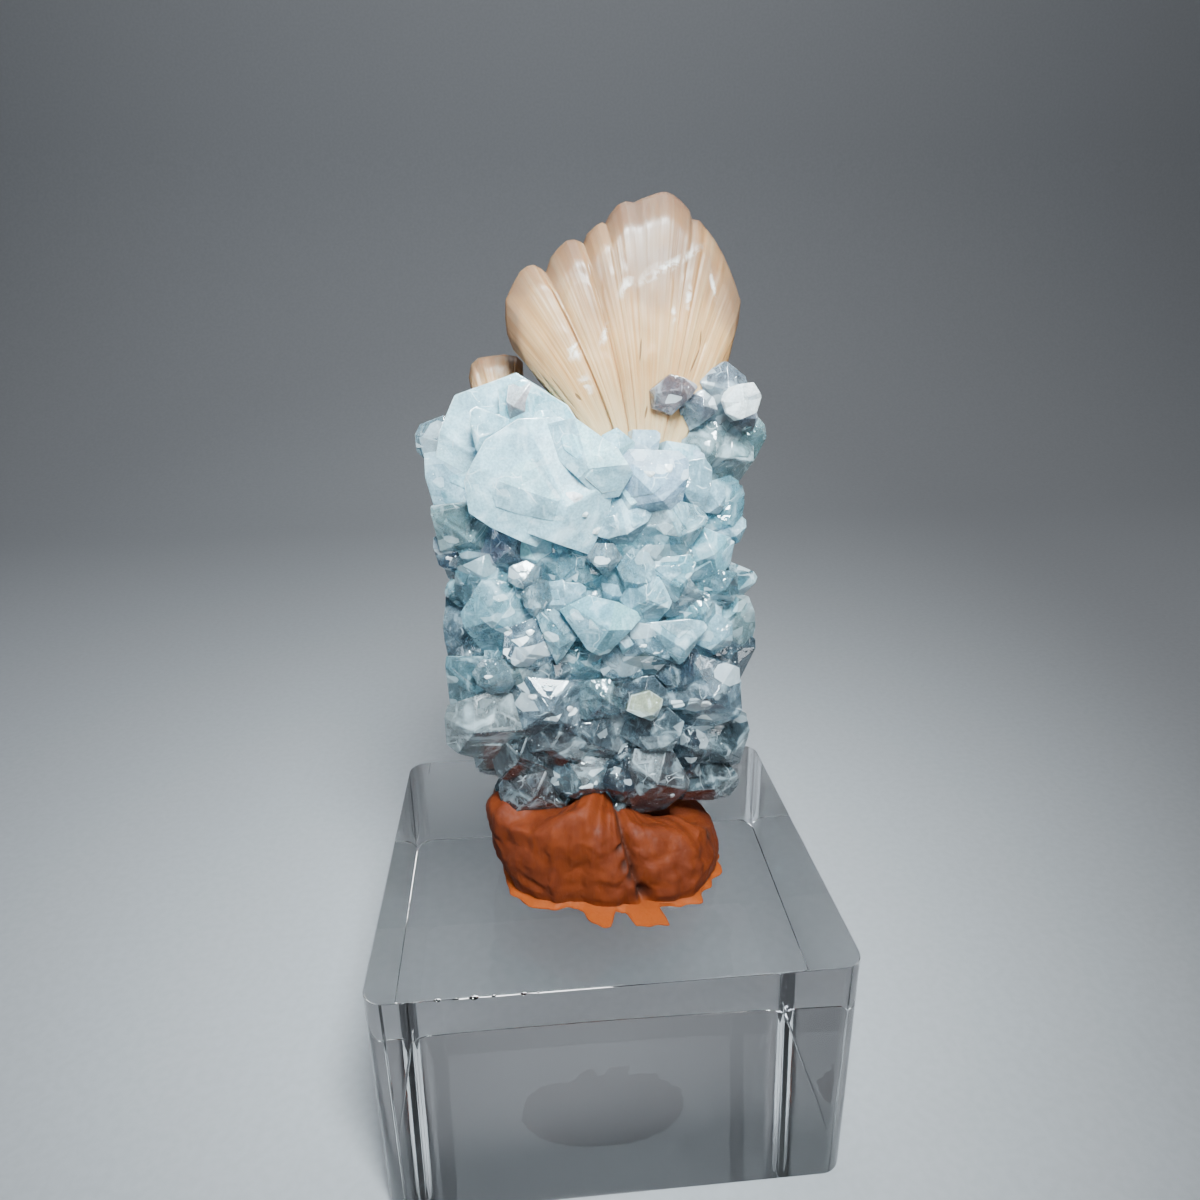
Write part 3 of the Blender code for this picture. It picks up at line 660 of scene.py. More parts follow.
def carve(planes: Sequence[Plane], centre: Vector, reach: float) -> Form:
    """Cuts a convex body from a cube.

    Args:
        planes: (point, outward normal) of each face, in millimetres.
        centre: The cube's centre.
        reach: Half the cube's side.

    Returns:
        The body behind every plane.
    """
    form = bmesh.new()
    bmesh.ops.create_cube(form, size=2 * reach, matrix=Matrix.Translation(centre))
    for point, normal in planes:
        everything = form.verts[:] + form.edges[:] + form.faces[:]
        cut = bmesh.ops.bisect_plane(
            form, geom=everything, dist=1e-4, plane_co=point, plane_no=normal, clear_outer=True
        )
        rim = [item for item in cut["geom_cut"] if isinstance(item, bmesh.types.BMEdge)]
        if rim:
            bmesh.ops.edgeloop_fill(form, edges=rim)
    return form


def soften(form: Form, width: float) -> None:
    """Rounds every edge of a convex body a little.

    Args:
        form: The body, in millimetres.
        width: Width of the bevel.
    """
    settings = {"offset_type": "OFFSET", "profile": ROUND_PROFILE, "affect": "EDGES"}
    bmesh.ops.bevel(
        form, geom=form.edges[:], offset=width, segments=BEVEL_SEGMENTS, clamp_overlap=True, **settings
    )


def mesh_object(form: Form, name: str, group: Group | None = None) -> Item:
    """Turns a bmesh in millimetres into an object in metres.

    Args:
        form: The bmesh, which is freed.
        name: The object's name.
        group: The collection to link it to, or the scene's own.

    Returns:
        The object.
    """
    bmesh.ops.recalc_face_normals(form, faces=form.faces)
    bmesh.ops.scale(form, vec=(MM, MM, MM), verts=form.verts)
    mesh = bpy.data.meshes.new(name)
    form.to_mesh(mesh)
    form.free()
    made = bpy.data.objects.new(name, mesh)
    (group or bpy.context.scene.collection).objects.link(made)
    return made


def helper_group(name: str) -> Group:
    """Makes a collection for Boolean operands.

    Args:
        name: The collection's name.

    Returns:
        The collection.
    """
    group = bpy.data.collections.new(name)
    bpy.context.scene.collection.children.link(group)
    return group


def drop_group(group: Group) -> None:
    """Removes a collection and its objects.

    Args:
        group: The collection.
    """
    for item in list(group.objects):
        bpy.data.objects.remove(item, do_unlink=True)
    bpy.data.collections.remove(group)


def combine(base: Item, group: Group, operation: str) -> None:
    """Applies a Boolean of an object with every object of a collection.

    Args:
        base: The object that is changed.
        group: The operands.
        operation: UNION or DIFFERENCE.
    """
    cut = base.modifiers.new("combine", "BOOLEAN")
    cut.operation = operation
    cut.operand_type = "COLLECTION"
    cut.collection = group
    cut.solver = "MANIFOLD"
    bpy.context.view_layer.update()
    graph = bpy.context.evaluated_depsgraph_get()
    mesh = bpy.data.meshes.new_from_object(base.evaluated_get(graph))
    base.modifiers.clear()
    base.data = mesh


def keep_outer_skin(form: Form) -> int:
    """Deletes every separate shell but the largest.

    Args:
        form: The bmesh.

    Returns:
        How many shells were deleted.
    """
    waiting = set(form.verts)
    shells = []
    while waiting:
        shell = set()
        front = [waiting.pop()]
        while front:
            vertex = front.pop()
            shell.add(vertex)
            for edge in vertex.link_edges:
                other = edge.other_vert(vertex)
                if other in waiting:
                    waiting.remove(other)
                    front.append(other)
        shells.append(shell)
    shells.sort(key=len)
    loose = [vertex for shell in shells[:-1] for vertex in shell]
    bmesh.ops.delete(form, geom=loose, context="VERTS")
    return len(shells) - 1


def clean_skin(item: Item, merge: float = 0.0) -> int:
    """Deletes an object's separate shells, all but the largest, and merges points that all but meet.

    Args:
        item: The object.
        merge: How near two points are merged, in millimetres.

    Returns:
        How many shells were deleted.
    """
    form = bmesh.new()
    form.from_mesh(item.data)
    dropped = keep_outer_skin(form)
    if merge > 0.0:
        bmesh.ops.remove_doubles(form, verts=form.verts, dist=merge * MM)
    form.to_mesh(item.data)
    form.free()
    return dropped


def dress(item: Item, sharp_angle: float, material: Material) -> None:
    """Shades an object smooth between its sharp edges, and gives it its material.

    Args:
        item: The object.
        sharp_angle: The angle in degrees from which an edge stays sharp.
        material: The material.
    """
    item.data.shade_smooth()
    item.data.set_sharp_from_angle(angle=math.radians(sharp_angle))
    item.data.materials.clear()
    item.data.materials.append(material)
    LOG.info("%s: %d faces", item.name, len(item.data.polygons))


def flatten_shading(item: Item, weight: int = 50) -> None:
    """Shades large faces flat and leaves the rounding to the bevels between them.

    Args:
        item: The object.
        weight: How strongly large faces count, from 1 to 100.
    """
    weighted = item.modifiers.new("flat facets", "WEIGHTED_NORMAL")
    weighted.mode = "FACE_AREA"
    weighted.weight = weight
    weighted.keep_sharp = True


def store(mesh: bpy.types.Mesh, name: str, values: np.ndarray) -> None:
    """Stores a number or a colour for each face.

    Args:
        mesh: The mesh.
        name: The attribute's name.
        values: One number, or four parts of a colour, for each face.
    """
    kind, part = ("FLOAT", "value") if values.ndim == 1 else ("FLOAT_COLOR", "color")
    stored = mesh.attributes.new(name, kind, "FACE")
    stored.data.foreach_set(part, np.ascontiguousarray(values).ravel())


def limited(value: float, limits: Point2) -> float:
    """A value, kept between two limits."""
    return max(limits[0], min(limits[1], value))


def swing(dice: random.Random, most: float) -> float:
    """A random amount up to a limit, to either side of nothing."""
    return dice.uniform(-most, most)


def wall_point(angle: float, half_width: float, half_depth: float, middle: float, height: float) -> Vector:
    """A point of an upright elliptical wall whose axis is at a y, at an angle in radians and a height."""
    return Vector((half_width * math.cos(angle), middle + half_depth * math.sin(angle), height))


# Crystal forms

GROWTH_INWARDS = -0.035
GROWTH_BACK = (0.93, -0.30)


@dataclass(frozen=True)
class HabitForm:
    """The visible end of a crystal.

    The outline goes round it anticlockwise, x to the right and z up, each from -1 to 1. The faces meet at
    the summit, the point nearest the viewer, and each is (the direction in which it falls away, in
    degrees anticlockwise from +x, and how steeply).
    """

    outline: tuple[Point2, ...]
    summit: Point2
    faces: tuple[Point2, ...]


class Habit(Enum):
    """The shapes that the crystals' visible ends have."""

    BLOCK = HabitForm(
        ((-0.85, -1), (0.9, -1), (1, -0.8), (1, 0.75), (0.7, 1), (-1, 1), (-1, -0.7)),
        (0.25, -0.45),
        ((100, 14), (205, 24), (325, 38), (265, 48)),
    )
    KITE = HabitForm(
        ((0.1, -1), (1, 0.15), (0.5, 0.95), (-0.45, 1), (-1, 0.2)),
        (0.05, -0.35),
        ((35, 26), (150, 30), (250, 46), (310, 42)),
    )
    TRIANGLE = HabitForm(
        ((0.05, -1), (1, 0.55), (0.85, 0.95), (-0.8, 1), (-1, 0.7)),
        (0.1, -0.3),
        ((85, 22), (215, 34), (325, 36)),
    )
    HEXAGON = HabitForm(
        ((-0.45, -1), (0.5, -0.95), (1, -0.05), (0.55, 0.9), (-0.5, 1), (-1, 0.1)),
        (-0.1, 0.1),
        ((20, 28), (100, 24), (185, 30), (265, 36)),
    )
    PRISM = HabitForm(
        ((-0.95, -0.7), (-0.5, -1), (0.7, -0.95), (1, -0.1), (0.65, 0.85), (-0.6, 1), (-1, 0.3)),
        (0.1, 0.0),
        ((90, 36), (270, 34), (0, 44), (180, 40)),
    )
    PLATE = HabitForm(
        ((-0.55, -1), (0.75, -0.9), (1, -0.2), (0.85, 0.8), (0.3, 1), (-0.7, 0.6), (-1, -0.3)),
        (0.2, -0.4),
        ((115, 9), (225, 24), (330, 26)),
    )
    GREAT_PLATE = HabitForm(
        (
            (-1, 0.15), (-0.97, -0.2), (-0.55, -0.5), (-0.05, -0.74), (0.5, -1), (0.7, -0.83), (0.78, -0.4),
            (1, 0.1), (0.7, 0.64), (0.2, 1), (-0.3, 0.97), (-0.7, 0.7),
        ),
        (0.3, -0.3),
        ((135, 7), (215, 13), (50, 15), (320, 28)),
    )
    PICK = HabitForm(
        (
            (0.03, -1), (0.28, -0.9), (1, 0.28), (0.9, 0.5), (0.4, 0.8), (-0.33, 1), (-1, 0.5),
            (-0.9, 0.32), (-0.28, -0.76),
        ),
        (0.2, -0.1),
        ((110, 12), (215, 22), (300, 30), (20, 20)),
    )
    CAP = HabitForm(
        ((-0.3, -1), (0.7, -0.8), (1, 0), (0.65, 0.9), (-0.3, 0.95), (-1, 0.3), (-0.9, -0.5)),
        (0.1, 0.1),
        ((70, 8), (190, 20), (300, 12)),
    )
    DROP = HabitForm(
        ((-0.2, -1), (0.55, -0.8), (1, 0.2), (0.4, 0.95), (-0.6, 0.9), (-1, 0.1)),
        (0.0, -0.25),
        ((60, 30), (160, 32), (270, 40), (340, 34)),
    )


@dataclass(frozen=True)
class LookForm:
    """How a crystal looks: body colour, clearness, glitter, and how worn its edges are."""

    tint: Colour
    clear: float
    glitter: float
    bevel: float = 0.1


class Look(Enum):
    """The looks that the photograph's crystals have."""

    MILKY = LookForm((0.50, 0.88, 1.0), 0.42, 0.2, 0.12)
    FROST = LookForm((0.48, 0.84, 0.98), 0.62, 0.35, 0.08)
    LAVENDER = LookForm((0.58, 0.76, 0.96), 0.60, 0.5, 0.08)
    AQUA = LookForm((0.36, 0.66, 0.76), 0.74, 0.5, 0.08)
    SEA = LookForm((0.25, 0.50, 0.58), 0.80, 0.5, 0.08)
    GREY_GREEN = LookForm((0.34, 0.50, 0.52), 0.76, 0.4, 0.1)
    GREY = LookForm((0.19, 0.27, 0.33), 0.82, 0.3, 0.1)
    ASH = LookForm((0.34, 0.38, 0.45), 0.74, 0.6, 0.1)
    CLEAR = LookForm((0.56, 0.76, 0.85), 0.88, 0.6, 0.08)
    SPARKLING = LookForm((0.38, 0.56, 0.68), 0.84, 0.9, 0.08)
    DARK = LookForm((0.12, 0.17, 0.24), 0.84, 0.7, 0.08)
    VIOLET = LookForm((0.24, 0.24, 0.32), 0.80, 0.8, 0.08)
    SMOKY = LookForm((0.14, 0.155, 0.18), 0.80, 0.22, 0.16)
    PINK = LookForm((0.34, 0.26, 0.28), 0.74, 0.5, 0.12)
    BLUSH = LookForm((0.18, 0.155, 0.17), 0.76, 0.18, 0.2)
    PALE = LookForm((0.38, 0.45, 0.47), 0.70, 0.12, 0.2)
    ROSY = LookForm((0.66, 0.62, 0.64), 0.50, 0.3, 0.1)
    CREAM = LookForm((0.56, 0.58, 0.38), 0.35, 0.2, 0.1)
    # Painted highlight: near-white faces that stand for glints of the light.
    WHITE = LookForm((0.94, 0.99, 1.0), 0.25, 0.5, 0.1)
    CORE = LookForm((0.13, 0.24, 0.29), 0.6, 0.15, 0.0)


@dataclass(frozen=True)
class Lead:
    """A crystal that shows on the front: its visible end's place and size, in millimetres."""

    name: str
    habit: Habit
    x: float
    z: float
    front: float
    width: float
    height: float
    turn: float
    look: Look
    depth: float = 8.0
    shade: float = 1.0

    @property
    def centre(self) -> Vector:
        """The middle of the visible end."""
        return Vector((self.x, self.front, self.z))

    @property
    def turned(self) -> Matrix:
        """The turn of the visible end."""
        return Matrix.Rotation(-math.radians(self.turn), 3, "Y")

    def placed(self, across: float, up: float) -> Vector:
        """A point of the visible end from its own -1 to 1 coordinates."""
        return self.centre + self.turned @ Vector((across * self.width / 2, 0, up * self.height / 2))

    def front_faces(self, swell: float = 0.0) -> list[Plane]:
        """The faces that meet at the summit.

        Args:
            swell: How far each is moved outwards.

        Returns:
            The planes.
        """
        turn = self.turned
        summit = self.placed(*self.habit.value.summit)
        planes = []
        for direction, slope in self.habit.value.faces:
            lean = math.radians(slope)
            angle = math.radians(direction)
            way = turn @ Vector((math.cos(angle), 0.0, math.sin(angle)))
            outward = Vector((0.0, -math.cos(lean), 0.0)) + way * math.sin(lean)
            planes.append((summit + outward * swell, outward))
        return planes

    def planes(self, swell: float = 0.0) -> list[Plane]:
        """Every face: the sides run back along the growth direction.

        Args:
            swell: How far each is moved outwards.

        Returns:
            The planes.
        """
        growth = Vector((GROWTH_INWARDS * self.x, *GROWTH_BACK)).normalized()
        corners = [self.placed(u, v) for u, v in self.habit.value.outline]
        planes = []
        for here, following in zip(corners, corners[1:] + corners[:1]):
            outward = growth.cross(following - here).normalized()
            planes.append((here + outward * swell, outward))
        planes += self.front_faces(swell)
        planes.append((self.centre + growth * (self.depth + swell), growth))
        return planes

    def front_at(self, x: float, z: float) -> float:
        """The y of the front surface at a place.

        Args:
            x: Place to the right.
            z: Height.

        Returns:
            The surface's y.
        """
        depths = []
        for point, normal in self.front_faces():
            slope = (normal.x * (x - point.x) + normal.z * (z - point.z)) / -normal.y
            depths.append(point.y + slope)
        return max(depths)

    def carve(self, swell: float = 0.0) -> Form:
        """The crystal's body, with each face moved outwards by swell."""
        return carve(self.planes(swell), self.centre, 2 * max(self.width, self.height) + self.depth)


@dataclass(frozen=True)
class Point:
    """A tetragonal crystal: four prism sides, a pyramid over their edges and a small flat end."""

    root: Vector
    axis: Vector
    spin: float
    half_width: float
    length: float
    flat: float
    look: Look
    slope: float = 52.0
    narrow: float = 0.8

    def planes(self, swell: float = 0.0) -> list[Plane]:
        """Every face.

        Args:
            swell: How far each is moved outwards.

        Returns:
            The planes.
        """
        across = self.axis.orthogonal().normalized()
        across.rotate(Matrix.Rotation(self.spin, 3, self.axis))
        tip = self.root + self.axis * self.length
        lean = math.radians(self.slope)
        planes = []
        for quarter in range(4):
            side = across.copy()
            side.rotate(Matrix.Rotation(quarter * math.pi / 2, 3, self.axis))
            reach = self.half_width * (1.0 if quarter % 2 else self.narrow)
            planes.append((self.root + side * (reach + swell), side))
            edge = side.copy()
            edge.rotate(Matrix.Rotation(math.pi / 4, 3, self.axis))
            outward = (self.axis * math.cos(lean) + edge * math.sin(lean)).normalized()
            planes.append((tip + outward * swell, outward))
        planes.append((self.root + self.axis * (self.length * self.flat + swell), self.axis))
        planes.append((self.root - self.axis * (self.half_width + swell), -self.axis))
        return planes

    def carve(self, swell: float = 0.0) -> Form:
        """The crystal's body, with each face moved outwards by swell."""
        return carve(self.planes(swell), self.root, 3 * self.half_width + self.length)


# The crystals that show best on the front, from the top down: habit, centre x and z, y of the front point,
# width, height and turn in degrees, look, and depth where it differs.
LEADS = (
    Lead("upper left plate", Habit.PLATE, -10.6, 79.6, -6.5, 10.4, 13.0, -8, Look.MILKY),
    Lead("clear left tip", Habit.KITE, -15.6, 79.3, -4.8, 5.0, 4.6, 75, Look.CLEAR),
    Lead("left edge block", Habit.BLOCK, -14.0, 75.3, -6.0, 5.4, 7.0, 6, Look.FROST),
    Lead("great milky crystal", Habit.GREAT_PLATE, -5.6, 76.3, -12.0, 14.2, 12.4, 0, Look.MILKY),
    Lead("long prism beside the sheaf", Habit.PLATE, -1.4, 79.2, -12.4, 8.8, 4.0, -48, Look.MILKY),
    Lead("crystal along the sheaf", Habit.PLATE, -5.9, 82.2, -8.4, 8.4, 4.8, -46, Look.MILKY),
    Lead("rosy crystal by the sheaf", Habit.KITE, -7.5, 83.6, -8.6, 3.0, 3.4, -40, Look.ROSY),
    Lead("lavender cube", Habit.BLOCK, 4.8, 76.0, -11.2, 5.8, 6.2, -4, Look.LAVENDER),
    Lead("point right of the cube", Habit.TRIANGLE, 9.0, 75.4, -10.6, 3.6, 5.2, 12, Look.FROST),
    Lead("wedge under the long prism", Habit.TRIANGLE, 2.6, 74.6, -10.4, 4.0, 3.6, -20, Look.FROST),
    Lead("upper right crystal", Habit.HEXAGON, 11.6, 77.6, -8.2, 8.6, 7.6, 20, Look.GREY_GREEN),
    Lead("right shoulder", Habit.KITE, 14.4, 79.4, -6.4, 5.4, 5.0, -60, Look.GREY_GREEN),
    Lead("clear grey crystal", Habit.PRISM, 11.5, 83.8, -9.0, 7.2, 4.6, 34, Look.ASH),
    # The cap's face is painted near white, as a reflection of the light.
    Lead("white faced cap", Habit.CAP, 13.2, 83.3, -10.2, 2.5, 2.7, 10, Look.WHITE, 2.0),
    Lead("smoky pink crystal", Habit.KITE, 7.3, 84.2, -9.8, 3.1, 3.6, 100, Look.PINK, 3.2),
    Lead("grey crystal between them", Habit.PRISM, 9.4, 82.6, -9.0, 3.6, 2.4, 34, Look.ASH, 5.0),
    Lead("face under the wedge", Habit.KITE, 1.8, 72.2, -11.0, 5.8, 4.8, 12, Look.FROST),
    Lead("block under the cube", Habit.BLOCK, 7.0, 72.0, -10.6, 5.0, 4.2, -24, Look.AQUA),
    Lead("right middle crystal", Habit.PRISM, 10.4, 68.8, -10.0, 6.6, 5.0, -18, Look.FROST),
    Lead("right edge crystal", Habit.BLOCK, 11.9, 72.4, -7.4, 4.6, 6.4, 8, Look.AQUA),
    Lead("small point in the middle", Habit.KITE, 0.1, 68.9, -11.2, 3.0, 3.0, 0, Look.CLEAR),
    Lead("middle block", Habit.BLOCK, 4.2, 69.6, -10.4, 4.4, 4.0, 10, Look.SEA),
    Lead("small kite", Habit.KITE, 3.2, 67.4, -11.4, 3.6, 4.6, -14, Look.AQUA),
    Lead("hanging point", Habit.TRIANGLE, 6.9, 66.6, -11.0, 4.4, 4.4, 6, Look.AQUA),
    Lead("middle hexagon", Habit.HEXAGON, 4.4, 64.6, -11.4, 4.4, 5.0, 0, Look.FROST),
    Lead("grey green block", Habit.BLOCK, -13.4, 71.6, -8.4, 5.6, 5.0, 4, Look.GREY_GREEN),
    Lead("dark sparkling corner", Habit.HEXAGON, -14.2, 68.8, -7.0, 4.6, 5.2, 30, Look.DARK),
    Lead("violet crystal", Habit.PRISM, -9.2, 69.8, -9.4, 6.8, 4.4, -6, Look.VIOLET),
    Lead("long green crystal", Habit.PRISM, -12.0, 67.0, -9.2, 7.8, 3.8, 26, Look.SEA),
    Lead("small white crystal", Habit.DROP, -7.8, 67.5, -10.8, 2.8, 2.6, 20, Look.CLEAR),
    Lead("left recess", Habit.BLOCK, -4.6, 68.2, -9.4, 5.0, 6.2, -5, Look.SEA),
    Lead("middle recess", Habit.KITE, -1.4, 67.4, -9.8, 4.4, 5.4, 10, Look.SEA),
    Lead("right recess", Habit.BLOCK, 1.8, 66.4, -9.8, 5.0, 5.0, 8, Look.AQUA),
    Lead("small diamond", Habit.KITE, -6.8, 65.0, -10.8, 2.6, 4.0, -10, Look.CLEAR),
    Lead("left middle crystal", Habit.HEXAGON, -10.4, 62.6, -10.6, 8.4, 8.4, -12, Look.AQUA),
    Lead("left middle foot", Habit.DROP, -7.6, 60.4, -11.2, 5.4, 5.2, 20, Look.SPARKLING),
    Lead("hanging left point", Habit.TRIANGLE, -4.6, 61.0, -11.0, 4.4, 5.4, -8, Look.AQUA),
    Lead("bright triangle", Habit.PICK, -0.5, 62.6, -12.2, 7.4, 5.8, -4, Look.FROST),
    Lead("leaning prism", Habit.PRISM, -4.0, 64.6, -10.6, 4.8, 3.0, -40, Look.FROST),
    Lead("blue triangle", Habit.TRIANGLE, 8.4, 65.0, -10.6, 3.8, 4.2, 185, Look.CLEAR),
    Lead("long right crystal", Habit.PRISM, 12.0, 65.2, -9.6, 4.6, 3.4, -8, Look.SEA),
    Lead("right ledge", Habit.PRISM, 9.4, 63.0, -10.6, 5.6, 2.6, -16, Look.AQUA),
    Lead("pale hanging crystal", Habit.TRIANGLE, 7.6, 60.0, -11.0, 5.6, 4.4, 4, Look.FROST),
    Lead("rounded right crystal", Habit.DROP, 11.6, 60.4, -10.2, 3.8, 4.4, 24, Look.FROST),
    Lead("right plate", Habit.PLATE, 13.6, 60.0, -7.2, 5.2, 6.6, 10, Look.GREY_GREEN),
    Lead("striped crystal", Habit.HEXAGON, 4.3, 59.0, -11.0, 4.8, 6.2, 0, Look.SPARKLING),
    Lead("clear drop", Habit.DROP, -11.4, 57.0, -10.6, 3.6, 3.0, -10, Look.CLEAR),
    Lead("grey lip", Habit.PRISM, -8.6, 57.4, -10.0, 4.2, 3.0, -25, Look.GREY_GREEN),
    Lead("left edge strip", Habit.BLOCK, -14.0, 59.0, -5.4, 4.4, 9.4, 2, Look.GREY),
    Lead("pale lower left crystal", Habit.HEXAGON, -12.6, 51.0, -10.8, 8.8, 7.8, 22, Look.PALE),
    Lead("grey blue block", Habit.BLOCK, -12.8, 55.2, -8.8, 6.4, 5.6, -3, Look.SEA),
    Lead("clear level crystal", Habit.PRISM, -6.0, 53.6, -11.4, 8.2, 5.8, -4, Look.SPARKLING),
    Lead("long low crystal", Habit.PRISM, -0.4, 54.0, -10.6, 5.4, 3.6, 10, Look.CLEAR),
    Lead("row under the triangle, left", Habit.KITE, -5.2, 57.2, -9.8, 4.8, 4.6, 10, Look.GREY),
    Lead("row under the triangle, middle", Habit.HEXAGON, -1.6, 57.2, -9.8, 4.6, 4.6, 0, Look.SEA),
    Lead("row under the triangle, right", Habit.KITE, 1.4, 57.2, -10.2, 4.2, 5.0, -12, Look.GREY),
    Lead("cream crystal", Habit.KITE, 4.4, 53.0, -11.2, 2.7, 2.7, 20, Look.CREAM),
    Lead("clear crystal behind the cream one", Habit.HEXAGON, 4.2, 53.2, -10.2, 4.8, 5.0, 8, Look.GREY),
    Lead("dull grey crystal", Habit.KITE, 5.8, 49.0, -9.8, 5.6, 6.2, 14, Look.GREY),
    Lead("silver crystal", Habit.HEXAGON, 11.4, 53.0, -10.4, 7.4, 8.6, -16, Look.SPARKLING),
    Lead("dark sparkling crystal", Habit.KITE, 8.0, 56.0, -9.8, 4.4, 5.6, 0, Look.DARK),
    Lead("grey right block", Habit.BLOCK, 12.8, 56.6, -7.4, 6.0, 5.0, -6, Look.GREY),
    Lead("low left crystal", Habit.PRISM, -9.2, 47.2, -9.2, 6.6, 5.8, 10, Look.SMOKY),
    Lead("low middle left crystal", Habit.HEXAGON, -5.2, 48.0, -9.6, 5.6, 6.2, -10, Look.SMOKY),
    Lead("brown left crystal", Habit.PRISM, -7.8, 41.9, -8.2, 8.2, 5.0, 5, Look.BLUSH),
    Lead("low sparkling crystal", Habit.DROP, -2.4, 43.8, -9.0, 6.0, 5.6, 15, Look.SPARKLING),
    Lead("low middle crystal", Habit.HEXAGON, -1.0, 48.0, -9.2, 5.0, 5.4, 0, Look.GREY),
    Lead("rounded brown pink crystal", Habit.HEXAGON, 6.1, 42.8, -9.6, 6.4, 8.4, 6, Look.BLUSH),
    Lead("low crystal beside it", Habit.KITE, 2.0, 43.4, -8.8, 4.6, 6.6, -8, Look.DARK),
    Lead("low right crystal", Habit.BLOCK, 12.4, 46.0, -6.8, 7.4, 7.2, 5, Look.GREY),
    Lead("lowest right crystal", Habit.DROP, 12.6, 41.0, -6.4, 6.8, 5.6, -12, Look.GREY),
    Lead("crystal over the brown pink one", Habit.PRISM, 9.4, 46.4, -8.4, 4.6, 5.0, 40, Look.DARK),
)


@dataclass(frozen=True)
class Flash:
    """A painted highlight on a crystal, a small terrace tinted near white as if it mirrored the light: its
    middle and its size, in millimetres.
    """

    x: float
    z: float
    width: float
    height: float


# Painted highlights, by the crystal that carries them.
FLASHES = {
    "great milky crystal": (
        Flash(-3.0, 75.2, 2.4, 1.1),
        Flash(-0.9, 71.6, 1.5, 1.0),
        Flash(-1.9, 73.4, 1.1, 0.6),
    ),
    "lavender cube": (Flash(4.3, 76.8, 1.0, 0.8), Flash(6.1, 77.3, 0.7, 1.0)),
    "dark sparkling corner": (
        Flash(-13.6, 69.5, 1.0, 0.7),
        Flash(-14.7, 70.4, 0.6, 0.8),
        Flash(-14.9, 68.4, 0.7, 0.4),
    ),
    "left middle foot": (Flash(-7.3, 61.5, 1.0, 0.9),),
    "striped crystal": (Flash(3.9, 59.8, 1.1, 0.5), Flash(4.4, 57.8, 0.8, 0.4)),
    "clear drop": (Flash(-11.6, 57.1, 1.0, 0.5),),
    "clear level crystal": (
        Flash(-7.0, 54.6, 1.8, 0.6),
        Flash(-3.8, 52.8, 1.2, 0.7),
        Flash(-5.9, 52.3, 0.9, 0.5),
    ),
    "silver crystal": (
        Flash(12.6, 53.9, 1.4, 0.9),
        Flash(10.7, 52.7, 1.0, 1.1),
        Flash(12.0, 50.9, 0.8, 0.5),
    ),
    "low sparkling crystal": (Flash(-1.0, 43.0, 0.7, 0.9),),
    "rounded brown pink crystal": (Flash(7.6, 40.6, 0.5, 0.9),),
}


@dataclass(frozen=True)
class Scatter:
    """How the crystals of one kind that chance places vary: sideways lean, sizes and flat ends."""

    lean: float
    half_widths: Point2
    lengths: Point2
    flats: Point2
    rooting: float = 0.0


